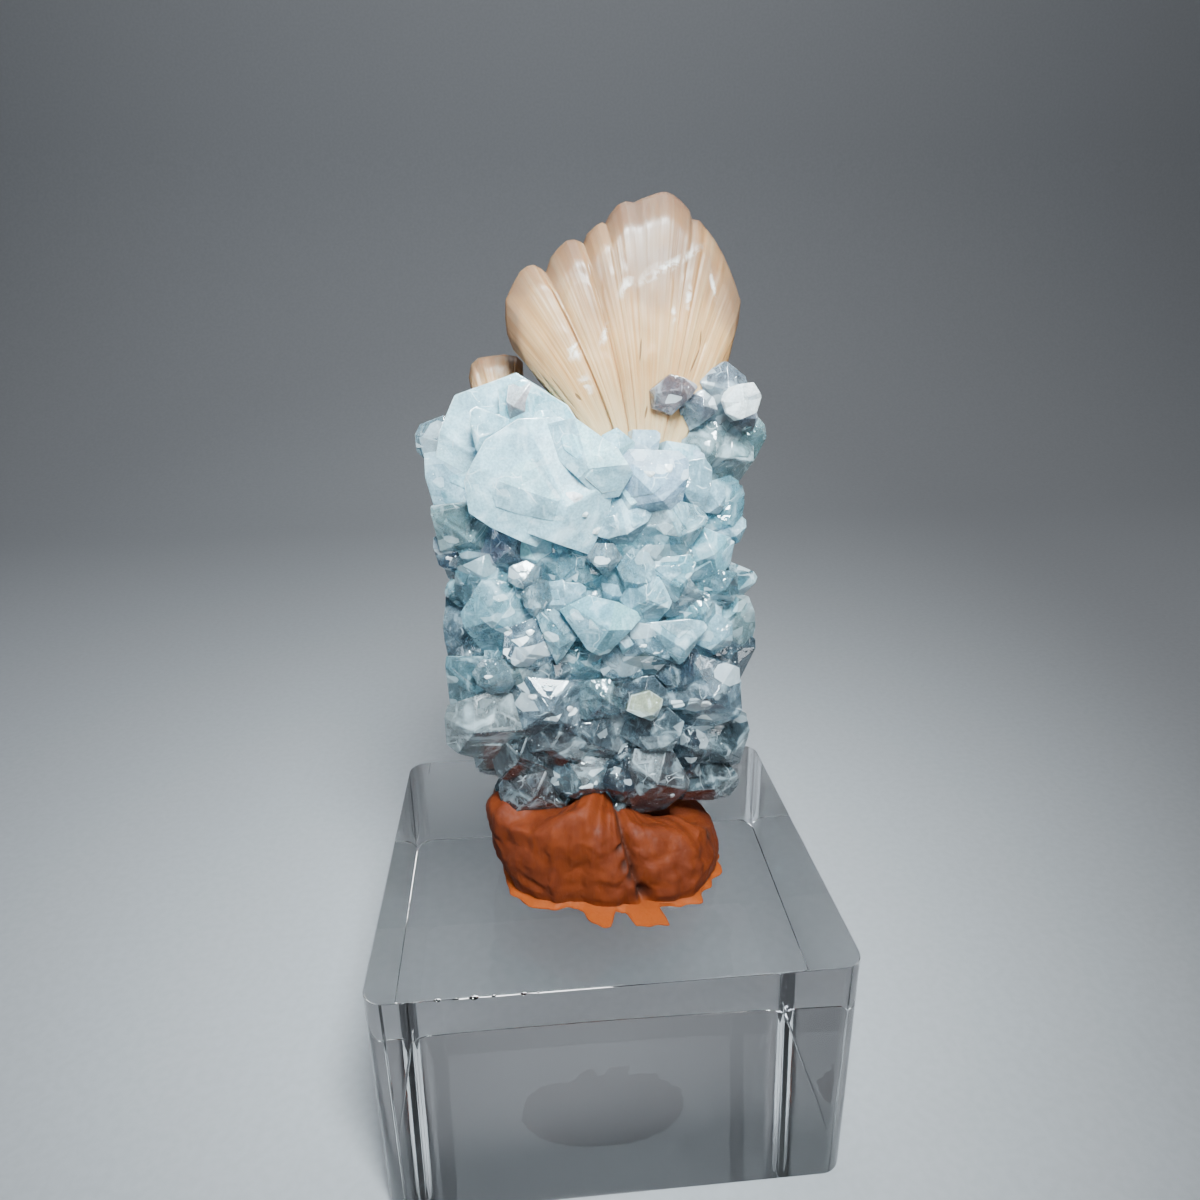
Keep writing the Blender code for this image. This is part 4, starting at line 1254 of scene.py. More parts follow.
@dataclass
class CrystalCluster:
    """The apophyllite: the shared body, the named crystals, their growth steps and the smaller crystals."""

    node: str = "apophyllite_cluster"
    slot: str = "apophyllite"
    centre_y: float = 1.0
    core_sides: int = 12
    core_profile: tuple[Point3, ...] = (
        (33.0, 3.5, 3.0), (37.5, 9.0, 6.0), (43.0, 12.0, 8.0), (51.0, 13.0, 8.8), (58.0, 12.6, 8.6),
        (64.0, 12.6, 8.4), (71.0, 12.4, 8.4), (77.0, 12.2, 7.8), (80.5, 9.0, 5.5), (82.5, 3.5, 2.5),
    )
    ring_heights: Point2 = (39.0, 79.5)
    ring_count: int = 8
    ring_crystals: int = 9
    ring_rise: Point2 = (-25.0, 35.0)
    ring_share: float = 0.86
    ring_jitter: float = 0.2
    ring_level_jitter: float = 1.6
    ring_rise_jitter: float = 0.45
    ring_kind: Scatter = Scatter(0.35, (2.0, 3.5), (2.2, 4.0), (0.74, 0.96), 1.0)
    front_gap: float = 62.0
    overgrowth: float = 0.55
    low_overgrowth: float = 1.1
    low_part: float = 58.0
    low_sink: float = 1.4
    named_shades: Point2 = (0.90, 1.06)
    step_from_width: float = 4.8
    steps_per_lead: int = 2
    step_shares: Point2 = (0.38, 0.78)
    step_stretch: Point2 = (0.8, 1.15)
    step_offset: float = 0.36
    step_turn: float = 12.0
    step_depth: float = 3.0
    step_rise: Point2 = (0.03, 0.13)
    companion_from_width: float = 4.0
    companions_per_lead: int = 3
    companion_place: float = 1.05
    companion_sizes: Point2 = (2.2, 4.0)
    companion_stretch: Point2 = (0.8, 1.3)
    companion_sink: Point2 = (1.4, 3.2)
    companion_turn: float = 40.0
    companion_depth: float = 6.0
    companion_shades: Point2 = (0.86, 1.0)
    companion_x: Point2 = (-14.6, 14.0)
    companion_z: Point2 = (38.5, 81.0)
    druse_count: int = 170
    druse_heights: Point2 = (38.0, 80.0)
    druse_rise: Point2 = (-0.5, 0.6)
    druse_kind: Scatter = Scatter(0.5, (0.8, 1.7), (1.0, 2.4), (0.7, 0.97))
    look_heights: Point3 = (74.0, 60.0, 50.0)
    look_jitter: float = 4.0
    merge: float = 0.004
    sharp_angle: float = 32.0
    facet_weight: int = 90
    surface_reach: float = 0.35
    bevel_gap: float = 0.012
    flash_height: float = 0.16
    flash_depth: float = 1.0
    ring_shades: Point2 = (0.88, 1.02)
    glitter_drift: Point2 = (0.8, 1.1)
    clear_limits: Point2 = (0.05, 0.98)
    most_facets: int = 20
    # Painted light and shade on the facets: their range, and the share and strength of painted highlight
    # facets.
    painted_facet_light: Point2 = (0.66, 1.14)
    lit_share: float = 0.025
    lit_strength: float = 0.5
    tint_drift: Point2 = (0.84, 1.10)
    # Painted shade towards the foot: the heights over which it fades in, how dark and how grey it gets.
    painted_shadow_heights: Point2 = (41.0, 60.0)
    painted_shadow_at_foot: float = 0.55
    painted_shadow_greyness: float = 0.45

    def core_radii(self, height: float) -> Point2:
        """Half width and half depth of the shared body.

        Args:
            height: The height.

        Returns:
            The two radii, from the rings of core_profile.
        """
        for low, high in zip(self.core_profile, self.core_profile[1:]):
            if low[0] <= height <= high[0]:
                share = (height - low[0]) / (high[0] - low[0])
                return (low[1] + (high[1] - low[1]) * share, low[2] + (high[2] - low[2]) * share)
        nearest = self.core_profile[0] if height < self.core_profile[0][0] else self.core_profile[-1]
        return nearest[1:]

    def core(self) -> Form:
        """The shared body, as a stack of rings with closed ends."""
        form = bmesh.new()
        rings = []
        for height, half_width, half_depth in self.core_profile:
            ring = []
            for side in range(self.core_sides):
                angle = 2 * math.pi * side / self.core_sides
                spot = wall_point(angle, half_width, half_depth, self.centre_y, height)
                ring.append(form.verts.new(spot))
            rings.append(ring)
        for low, high in zip(rings, rings[1:]):
            for side in range(self.core_sides):
                following = (side + 1) % self.core_sides
                form.faces.new((low[side], low[following], high[following], high[side]))
        form.faces.new(rings[0])
        form.faces.new(rings[-1])
        return form

    def outer_points(self) -> list[Point]:
        """The larger crystals on the sides, the back and the top, ring by ring.

        Returns:
            The crystals.
        """
        dice = random.Random(SEED)
        made = []
        low, high = self.ring_heights
        for ring in range(self.ring_count):
            height = low + (high - low) * ring / (self.ring_count - 1)
            radii = tuple(self.ring_share * radius for radius in self.core_radii(height))
            lowest, highest = self.ring_rise
            rise = math.radians(lowest + (highest - lowest) * ring / (self.ring_count - 1))
            for place in range(self.ring_crystals):
                share = (place + 0.5 * (ring % 2) + swing(dice, self.ring_jitter)) / self.ring_crystals
                angle = math.radians(-90 + self.front_gap + share * (360 - 2 * self.front_gap))
                level = height + swing(dice, self.ring_level_jitter)
                steep = math.tan(rise + swing(dice, self.ring_rise_jitter))
                made.append(self.grown(self.ring_kind, radii, angle, level, steep, dice))
        return made

    def grown(
        self, kind: Scatter, radii: Point2, angle: float, level: float, rise: float, dice: random.Random
    ) -> Point:
        """A crystal that grows away from the shared body, varied by chance.

        Args:
            kind: How its kind varies.
            radii: Half width and half depth of the body where it stands.
            angle: The direction in radians, anticlockwise from +X.
            level: Its height.
            rise: How steeply it climbs.
            dice: The source of chance.

        Returns:
            The crystal.
        """
        axis = Vector((math.cos(angle), math.sin(angle), rise))
        axis += Vector((swing(dice, kind.lean), swing(dice, kind.lean), 0.0))
        return Point(
            wall_point(angle, *radii, self.centre_y, level),
            axis.normalized(),
            dice.uniform(0, math.pi / 2),
            dice.uniform(*kind.half_widths),
            dice.uniform(*kind.lengths) + kind.rooting,
            dice.uniform(*kind.flats),
            self.look_at_height(level, dice),
        )

    def look_at_height(self, height: float, dice: random.Random) -> Look:
        """The look of a crystal that no table names: milky above, aqua in the middle, grey to smoky below.

        Args:
            height: Its height.
            dice: The source of chance.

        Returns:
            The look.
        """
        level = height + swing(dice, self.look_jitter)
        upper, middle, lower = self.look_heights
        if level > upper:
            return dice.choice((Look.MILKY, Look.FROST, Look.FROST, Look.LAVENDER))
        if level > middle:
            return dice.choice((Look.FROST, Look.AQUA, Look.AQUA, Look.SEA))
        if level > lower:
            return dice.choice((Look.AQUA, Look.SEA, Look.GREY_GREEN, Look.GREY))
        return dice.choice((Look.GREY, Look.SMOKY, Look.BLUSH, Look.DARK))

    def named(self) -> list[Lead]:
        """The named crystals, each grown into its neighbours and a little lighter or darker than its look.

        Returns:
            The crystals.
        """
        dice = random.Random(SEED + 5)
        grown = []
        for lead in LEADS:
            extra = self.overgrowth if lead.z > self.low_part else self.low_overgrowth
            size = {"width": lead.width + extra, "height": lead.height + extra}
            grown.append(replace(lead, **size, shade=dice.uniform(*self.named_shades)))
        return grown

    def growth_steps(self, leads: Sequence[Lead]) -> list[Lead]:
        """Low terraces on the faces of the named crystals, each a smaller copy of its crystal.

        Args:
            leads: The named crystals.

        Returns:
            The terraces.
        """
        dice = random.Random(SEED + 1)
        steps = []
        for lead in leads:
            for number in range(self.steps_per_lead if lead.width > self.step_from_width else 0):
                share = dice.uniform(*self.step_shares)
                spot = lead.placed(swing(dice, self.step_offset), swing(dice, self.step_offset))
                step = replace(
                    lead,
                    name=f"{lead.name} step {number}",
                    x=spot.x,
                    z=spot.z,
                    width=lead.width * share,
                    height=lead.height * share * dice.uniform(*self.step_stretch),
                    turn=lead.turn + swing(dice, self.step_turn),
                    depth=self.step_depth,
                )
                steps.append(self.raised(step, lead, dice.uniform(*self.step_rise)))
        return steps

    def raised(self, step: Lead, host: Lead, rise: float) -> Lead:
        """A terrace, moved so that its summit stands out of its crystal's face by rise."""
        top = step.placed(*step.habit.value.summit)
        return replace(step, front=host.front_at(top.x, top.z) - rise)

    def flashes(self, leads: Sequence[Lead]) -> list[Lead]:
        """The painted highlights of FLASHES, each a low terrace on its crystal, tinted near white.

        Args:
            leads: The named crystals.

        Returns:
            The facets.
        """
        hosts = {lead.name: lead for lead in leads}
        made = []
        for name, flashes in FLASHES.items():
            look = {"look": Look.WHITE, "shade": 1.0, "depth": self.flash_depth}
            for flash in flashes:
                facet = replace(hosts[name], name=f"{name} flash", **look, **vars(flash))
                made.append(self.raised(facet, hosts[name], self.flash_height))
        return made

    def companions(self, leads: Sequence[Lead]) -> list[Lead]:
        """Smaller crystals that look out from behind the named ones.

        Args:
            leads: The named crystals.

        Returns:
            The crystals.
        """
        dice = random.Random(SEED + 2)
        made = []
        habits = (Habit.KITE, Habit.TRIANGLE, Habit.BLOCK, Habit.HEXAGON, Habit.PRISM)
        for lead in leads:
            for number in range(self.companions_per_lead if lead.width > self.companion_from_width else 0):
                angle = dice.uniform(0, 2 * math.pi)
                away = self.companion_place
                spot = lead.placed(away * math.cos(angle), away * math.sin(angle))
                size = dice.uniform(*self.companion_sizes)
                low_sink = 0.0 if lead.z > self.low_part else self.low_sink
                made.append(
                    Lead(
                        f"{lead.name} companion {number}",
                        dice.choice(habits),
                        limited(spot.x, self.companion_x),
                        limited(spot.z, self.companion_z),
                        lead.front + dice.uniform(*self.companion_sink) + low_sink,
                        size,
                        size * dice.uniform(*self.companion_stretch),
                        swing(dice, self.companion_turn),
                        lead.look,
                        self.companion_depth,
                        dice.uniform(*self.companion_shades),
                    )
                )
        return made

    def druse(self) -> list[Point]:
        """Small crystals that cover the shared body between the larger ones.

        Returns:
            The crystals.
        """
        dice = random.Random(SEED + 3)
        made = []
        for _ in range(self.druse_count):
            height = dice.uniform(*self.druse_heights)
            angle = dice.uniform(0, 2 * math.pi)
            radii = self.core_radii(height)
            rise = dice.uniform(*self.druse_rise)
            made.append(self.grown(self.druse_kind, radii, angle, height, rise, dice))
        return made

    def crystals(self) -> list[Lead | Point]:
        """Every crystal of the cluster, named or not."""
        leads = self.named()
        on_leads = [*self.growth_steps(leads), *self.flashes(leads), *self.companions(leads)]
        return [*leads, *on_leads, *self.outer_points(), *self.druse()]

    def build(self, sockets: Group) -> Item:
        """Joins every crystal in one solid, leaves room for the sheaves, and dresses it.

        Args:
            sockets: The sheaves' forms, a little swollen.

        Returns:
            The cluster.
        """
        crystals = self.crystals()
        group = helper_group("crystals")
        for number, crystal in enumerate(crystals):
            form = crystal.carve()
            soften(form, crystal.look.value.bevel)
            mesh_object(form, f"crystal {number}", group)
        item = mesh_object(self.core(), self.node + "_look")
        combine(item, group, "UNION")
        combine(item, sockets, "DIFFERENCE")
        drop_group(group)
        dropped = clean_skin(item, self.merge)
        LOG.info("%s: %d crystals, %d inner shells left out", item.name, len(crystals), dropped)
        self.mark(item, crystals)
        dress(item, self.sharp_angle, CrystalFinish().build())
        flatten_shading(item, self.facet_weight)
        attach(item, ROOT_BODY)
        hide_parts(self.node)
        return item

    def mark(self, item: Item, crystals: Sequence[Lead | Point]) -> None:
        """Stores each face's tint, clearness, glitter and edge, from the crystal whose surface it lies on;
        the tint carries painted facet light and shade, painted highlight facets and painted shade at the
        foot.

        Args:
            item: The joined cluster.
            crystals: The crystals in it.
        """
        mesh = item.data
        count = len(mesh.polygons)
        middles = np.empty(count * 3)
        mesh.polygons.foreach_get("center", middles)
        middles = middles.reshape(-1, 3) / MM
        nearest = np.full(count, self.surface_reach)
        owner = np.full(count, -1)
        facet = np.zeros(count, dtype=int)
        for number, crystal in enumerate(crystals):
            planes = crystal.planes()
            points = np.array([tuple(point) for point, _ in planes])
            normals = np.array([tuple(normal) for _, normal in planes])
            heights = middles @ normals.T - np.einsum("ij,ij->i", points, normals)
            gap = np.abs(heights.max(axis=1))
            closer = gap < nearest
            nearest[closer] = gap[closer]
            owner[closer] = number
            facet[closer] = heights.argmax(axis=1)[closer]
        dice = random.Random(SEED + 4)
        rows = []
        for crystal in [*crystals, None]:
            look = crystal.look.value if crystal else Look.CORE.value
            shade = crystal.shade if isinstance(crystal, Lead) else dice.uniform(*self.ring_shades)
            red, green, blue = (part * shade for part in look.tint)
            tint = [min(1.0, part) for part in (red * dice.uniform(*self.tint_drift), green, blue)]
            clear = limited(look.clear, self.clear_limits)
            rows.append((*tint, clear, look.glitter * dice.uniform(*self.glitter_drift)))
        values = np.array(rows)[owner]
        chance = np.random.default_rng(SEED + 6)
        # Painted light and shade: each facet is drawn a little lighter or darker, and a few facets are
        # painted near white as highlights.
        facet_light_and_shade = chance.uniform(*self.painted_facet_light, (len(rows), self.most_facets))
        lit = np.where(chance.random(facet_light_and_shade.shape) < self.lit_share, self.lit_strength, 0.0)
        tints = np.ones((count, 4))
        tints[:, :3] = np.minimum(1.0, values[:, :3] * facet_light_and_shade[owner, facet][:, None])
        # Painted shade: faces are made darker and greyer towards the foot.
        depth = 1.0 - np.interp(middles[:, 2], self.painted_shadow_heights, (0.0, 1.0))[:, None]
        greys = tints[:, :3].mean(axis=1, keepdims=True)
        tints[:, :3] += (greys - tints[:, :3]) * self.painted_shadow_greyness * depth
        tints[:, :3] *= 1.0 - (1.0 - self.painted_shadow_at_foot) * depth
        flash = np.array(CrystalFinish.flash_colour)
        tints[:, :3] += (flash - tints[:, :3]) * lit[owner, facet][:, None]
        store(mesh, "tint", tints)
        store(mesh, "clear", values[:, 3])
        store(mesh, "glitter", values[:, 4])
        # edge marks the bevel faces, where the material paints a highlight.
        store(mesh, "edge", np.where((nearest > self.bevel_gap) & (owner >= 0), 1.0, 0.0))


@dataclass(frozen=True)
class Groove:
    """A line between two blades: its place across the fan, from 0 to 1, and its depth and step in mm."""

    across: float
    depth: float
    step: float = 0.0


@dataclass(frozen=True)
class FrontBlade:
    """A blade on the front of the fan: the part that it covers, how far along, and how far it rises."""

    left: float
    right: float
    reach: float
    rise: float


@dataclass
class Sheaf:
    """A stilbite sheaf: fibres that fan out from a root to a lobed outline, with blades on its front."""

    name: str
    node: str
    outline: tuple[Point2, ...]
    root_left: Point2
    root_right: Point2
    rim_y: float
    front_share: float
    root_thickness: float
    full_thickness: float
    columns: int
    rows: int
    seed: int
    grooves: tuple[Groove, ...] = ()
    front_blades: tuple[FrontBlade, ...] = ()
    groove_width: float = 0.0045
    groove_share: float = 0.6
    step_width: float = 0.003
    fold_width: float = 0.011
    tip_width: float = 0.014
    flank_width: float = 0.006
    bend: Point2 = (0.24, 0.42)
    thin_from: float = 0.5
    tips_from: float = 0.92
    least_half: float = 0.1
    sharp_angle: float = 55.0
    slot: str = "stilbite"

    def tip(self, share: float) -> Vector:
        """A point of the outline.

        Args:
            share: How far along the outline, from 0 to 1.

        Returns:
            The point as (x, z).
        """
        points = [Vector(point) for point in self.outline]
        lengths = [(b - a).length for a, b in zip(points, points[1:])]
        left = share * sum(lengths)
        for start, end, length in zip(points, points[1:], lengths):
            if left <= length:
                return start.lerp(end, left / length)
            left -= length
        return points[-1]

    def fibre_point(self, across: float, along: float, swell: float) -> Vector:
        """A place on a fibre, which leaves the root upwards and then bends outwards.

        Args:
            across: Which fibre, from 0 at the left to 1 at the right.
            along: Place along it, from 0 at the root to 1 at the tip.
            swell: How far both ends are moved outwards.

        Returns:
            The place as (x, z).
        """
        root = Vector(self.root_left).lerp(Vector(self.root_right), across)
        tip = self.tip(across)
        reach = tip - root
        bend = root + Vector((self.bend[0] * reach.x, self.bend[1] * reach.y))
        root = root - Vector((0.0, swell))
        tip = tip + (tip - bend).normalized() * swell
        first = root.lerp(bend, along)
        return first.lerp(bend.lerp(tip, along), along)

    def half_thickness(self, across: float, along: float) -> float:
        """Half the sheaf's thickness.

        Args:
            across: Place across the fan, from 0 to 1.
            along: Place from the root to the tips, from 0 to 1.

        Returns:
            Half the thickness in millimetres.
        """
        edge = max(0.0, 1.0 - abs(2 * across - 1) ** 3.4) ** 0.5
        growth = math.sin(min(1.0, along * 1.5) * math.pi / 2)
        full = self.root_thickness + (self.full_thickness - self.root_thickness) * growth
        taper = 1.0
        if along > self.thin_from:
            taper = 1.0 - 0.5 * ((along - self.thin_from) / 0.5) ** 1.5
        if along > self.tips_from:
            taper *= 1.0 - 0.7 * ((along - self.tips_from) / 0.08) ** 1.5
        return max(self.least_half, 0.5 * full * taper * edge)

    def relief(self, across: float, along: float, side: int) -> float:
        """How far the surface stands out from its smooth form.

        Args:
            across: Place across the fan.
            along: Place along it.
            side: -1 for the front, 1 for the back.

        Returns:
            The height in millimetres.
        """
        height = 0.0
        for groove in self.grooves:
            away = across - groove.across
            dip = groove.depth * math.exp(-((away / self.groove_width) ** 2))
            beyond = 1 / (1 + math.exp(-limited(away / self.step_width, (-40.0, 40.0))))
            height += self.groove_share * (groove.step * (beyond - 0.5) - dip)
        if side < 0:
            for blade in self.front_blades:
                inside = (across - blade.left) / (blade.right - blade.left)
                if 0.0 < inside < 1.0:
                    top = blade.reach * (1.0 - 0.05 * abs(2 * inside - 1) ** 2.4)
                    above = limited((top - along) / self.tip_width, (0.0, 1.0))
                    flank = min(inside, 1 - inside) * (blade.right - blade.left) / self.flank_width
                    height += self.groove_share * blade.rise * above * min(1.0, flank)
        place = Vector((across * 70.0, along * 1.2, self.seed + side * 5.0))
        fine = 0.045 * noise.noise(place) + 0.03 * noise.noise(place * 2.6)
        height += fine * min(1.0, along * 1.4) ** 2
        broad = Vector((across * 10.0, along * 2.4, self.seed + side * 3.0))
        lumps = Vector((across * 22.0, along * 16.0, self.seed))
        height += 0.22 * noise.noise(broad) + 0.06 * noise.noise(lumps)
        return height

    def fold_at(self, across: float) -> float:
        """How deep in a line between two blades a fibre lies, which the material uses for painted shade.

        Args:
            across: Place across the fan.

        Returns:
            The depth, from 0 to 1.
        """
        near = []
        for line in self.grooves:
            away = (across - line.across) / self.fold_width
            near.append(min(1.0, 5 * line.depth) * math.exp(-(away**2)))
        return max(near, default=0.0)

    def form(self, swell: float = 0.0) -> Form:
        """The sheaf's closed surface.

        Args:
            swell: How far the surface is moved outwards, for the room that the cluster leaves.

        Returns:
            The bmesh, with the layers fibre and fold.
        """
        form = bmesh.new()
        fibre = form.verts.layers.float_vector.new("fibre")
        fold = form.verts.layers.float.new("fold")
        grid: Grid = {}
        for column in range(self.columns + 1):
            across = column / self.columns
            for row in range(self.rows + 1):
                along = row / self.rows
                spot = self.fibre_point(across, along, swell)
                half = self.half_thickness(across, along)
                for side in (-1, 1):
                    share = self.front_share if side < 0 else 1 - self.front_share
                    bulge = 2 * share * half + swell
                    if 0 < column < self.columns:
                        bulge += self.relief(across, along, side) * min(1.0, half / 1.1)
                    vertex = form.verts.new((spot.x, self.rim_y + side * max(0.05, bulge), spot.y))
                    vertex[fibre] = (across, along, side * 0.5)
                    vertex[fold] = self.fold_at(across)
                    grid[side, column, row] = vertex
        self.skin(form, grid)
        return form

    def skin(self, form: Form, grid: Grid) -> None:
        """Faces between the grid's points, with the rims closed.

        Args:
            form: The bmesh.
            grid: Its points by side, column and row.
        """
        for column in range(self.columns):
            for row in range(self.rows):
                for side in (-1, 1):
                    near = (grid[side, column, row], grid[side, column + 1, row])
                    far = (grid[side, column + 1, row + 1], grid[side, column, row + 1])
                    form.faces.new((*near, *far))
            for row in (0, self.rows):
                front = (grid[-1, column, row], grid[-1, column + 1, row])
                back = (grid[1, column + 1, row], grid[1, column, row])
                form.faces.new((*front, *back))
        for column in (0, self.columns):
            for row in range(self.rows):
                front = (grid[-1, column, row], grid[-1, column, row + 1])
                back = (grid[1, column, row + 1], grid[1, column, row])
                form.faces.new((*front, *back))

    def build(self) -> Item:
        """Builds and dresses the sheaf.

        Returns:
            The sheaf.
        """
        item = mesh_object(self.form(), self.name)
        dress(item, self.sharp_angle, StilbiteFinish(self.slot).build())
        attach(item, ROOT_BODY)
        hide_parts(self.node)
        return item


MAIN_SHEAF = Sheaf(
    name="stilbite_sheaf_look",
    node="stilbite_sheaf",
    outline=(
        (-5.4, 84.6), (-6.6, 86.3), (-7.7, 87.6), (-8.2, 89.0), (-8.3, 90.4), (-8.2, 92.0),
        (-7.5, 93.3), (-6.8, 94.4), (-6.1, 94.9), (-5.5, 95.0), (-4.9, 94.7), (-4.4, 94.3),
        (-3.9, 95.6), (-3.2, 96.4), (-2.5, 97.0), (-1.8, 97.1), (-1.2, 96.9), (-0.9, 96.7),
        (-0.5, 97.6), (0.3, 98.3), (0.8, 98.5), (1.1, 98.3), (1.6, 99.2), (2.3, 100.0),
        (2.9, 100.2), (3.6, 100.1), (4.3, 100.4), (5.2, 100.7), (6.1, 100.95), (6.6, 100.95),
        (7.2, 100.7), (7.9, 100.2), (8.7, 99.4), (8.9, 98.7), (9.6, 98.6), (10.2, 98.0),
        (11.0, 97.1), (12.0, 95.6), (13.0, 93.6), (13.8, 91.6), (13.7, 89.9), (13.3, 88.1),
        (12.9, 86.2), (12.4, 84.6), (11.2, 83.2),
    ),
    root_left=(1.4, 74.6),
    root_right=(7.6, 74.6),
    rim_y=-3.3,
    front_share=0.40,
    root_thickness=5.0,
    full_thickness=10.8,
    columns=340,
    rows=84,
    seed=5,
    grooves=(
        Groove(0.045, 0.14, 0.14), Groove(0.13, 0.05, 0.05), Groove(0.262, 0.26, 0.25),
        Groove(0.372, 0.2, 0.16), Groove(0.433, 0.16, 0.12), Groove(0.545, 0.05, 0.05),
        Groove(0.668, 0.2, -0.2), Groove(0.74, 0.06, -0.08), Groove(0.86, 0.12, -0.14),
        Groove(0.92, 0.06, -0.06), Groove(0.965, 0.12, -0.1),
    ),
    front_blades=(
        FrontBlade(0.10, 0.25, 0.80, 0.12), FrontBlade(0.268, 0.372, 0.895, 0.3),
        FrontBlade(0.385, 0.48, 0.86, 0.14), FrontBlade(0.495, 0.60, 0.80, 0.14),
        FrontBlade(0.62, 0.70, 0.84, 0.12), FrontBlade(0.75, 0.86, 0.74, 0.13),
        FrontBlade(0.50, 0.57, 0.55, 0.1), FrontBlade(0.30, 0.36, 0.62, 0.1),
    ),
)
SIDE_SHEAF = Sheaf(
    name="stilbite_side_sheaf_look",
    node="stilbite_side_sheaf",
    outline=(
        (-12.1, 82.6), (-12.3, 84.6), (-12.0, 85.8), (-11.3, 86.4), (-9.9, 86.6), (-8.6, 86.7),
        (-7.4, 86.5), (-6.8, 85.9), (-6.8, 83.6),
    ),
    root_left=(-9.6, 76.0),
    root_right=(-7.9, 76.0),
    rim_y=2.4,
    front_share=0.5,
    root_thickness=2.4,
    full_thickness=4.8,
    columns=110,
    rows=30,
    seed=9,
    grooves=(Groove(0.2, 0.2, 0.1), Groove(0.45, 0.2, -0.1), Groove(0.7, 0.2, 0.1)),
)


@dataclass(frozen=True)
class PuttyRow:
    """The putty in one direction, in degrees and mm: reach of smear, foot and shoulder, and height."""

    degrees: float
    smear: float
    foot: float
    shoulder: float
    height: float

    def values(self) -> tuple[float, float, float, float]:
        """The row without its direction."""
        return (self.smear, self.foot, self.shoulder, self.height)


@dataclass(frozen=True)
class Dent:
    """A pressed mark in the putty: direction in degrees, height above the block, radius and depth in mm."""

    degrees: float
    height: float
    radius: float
    depth: float


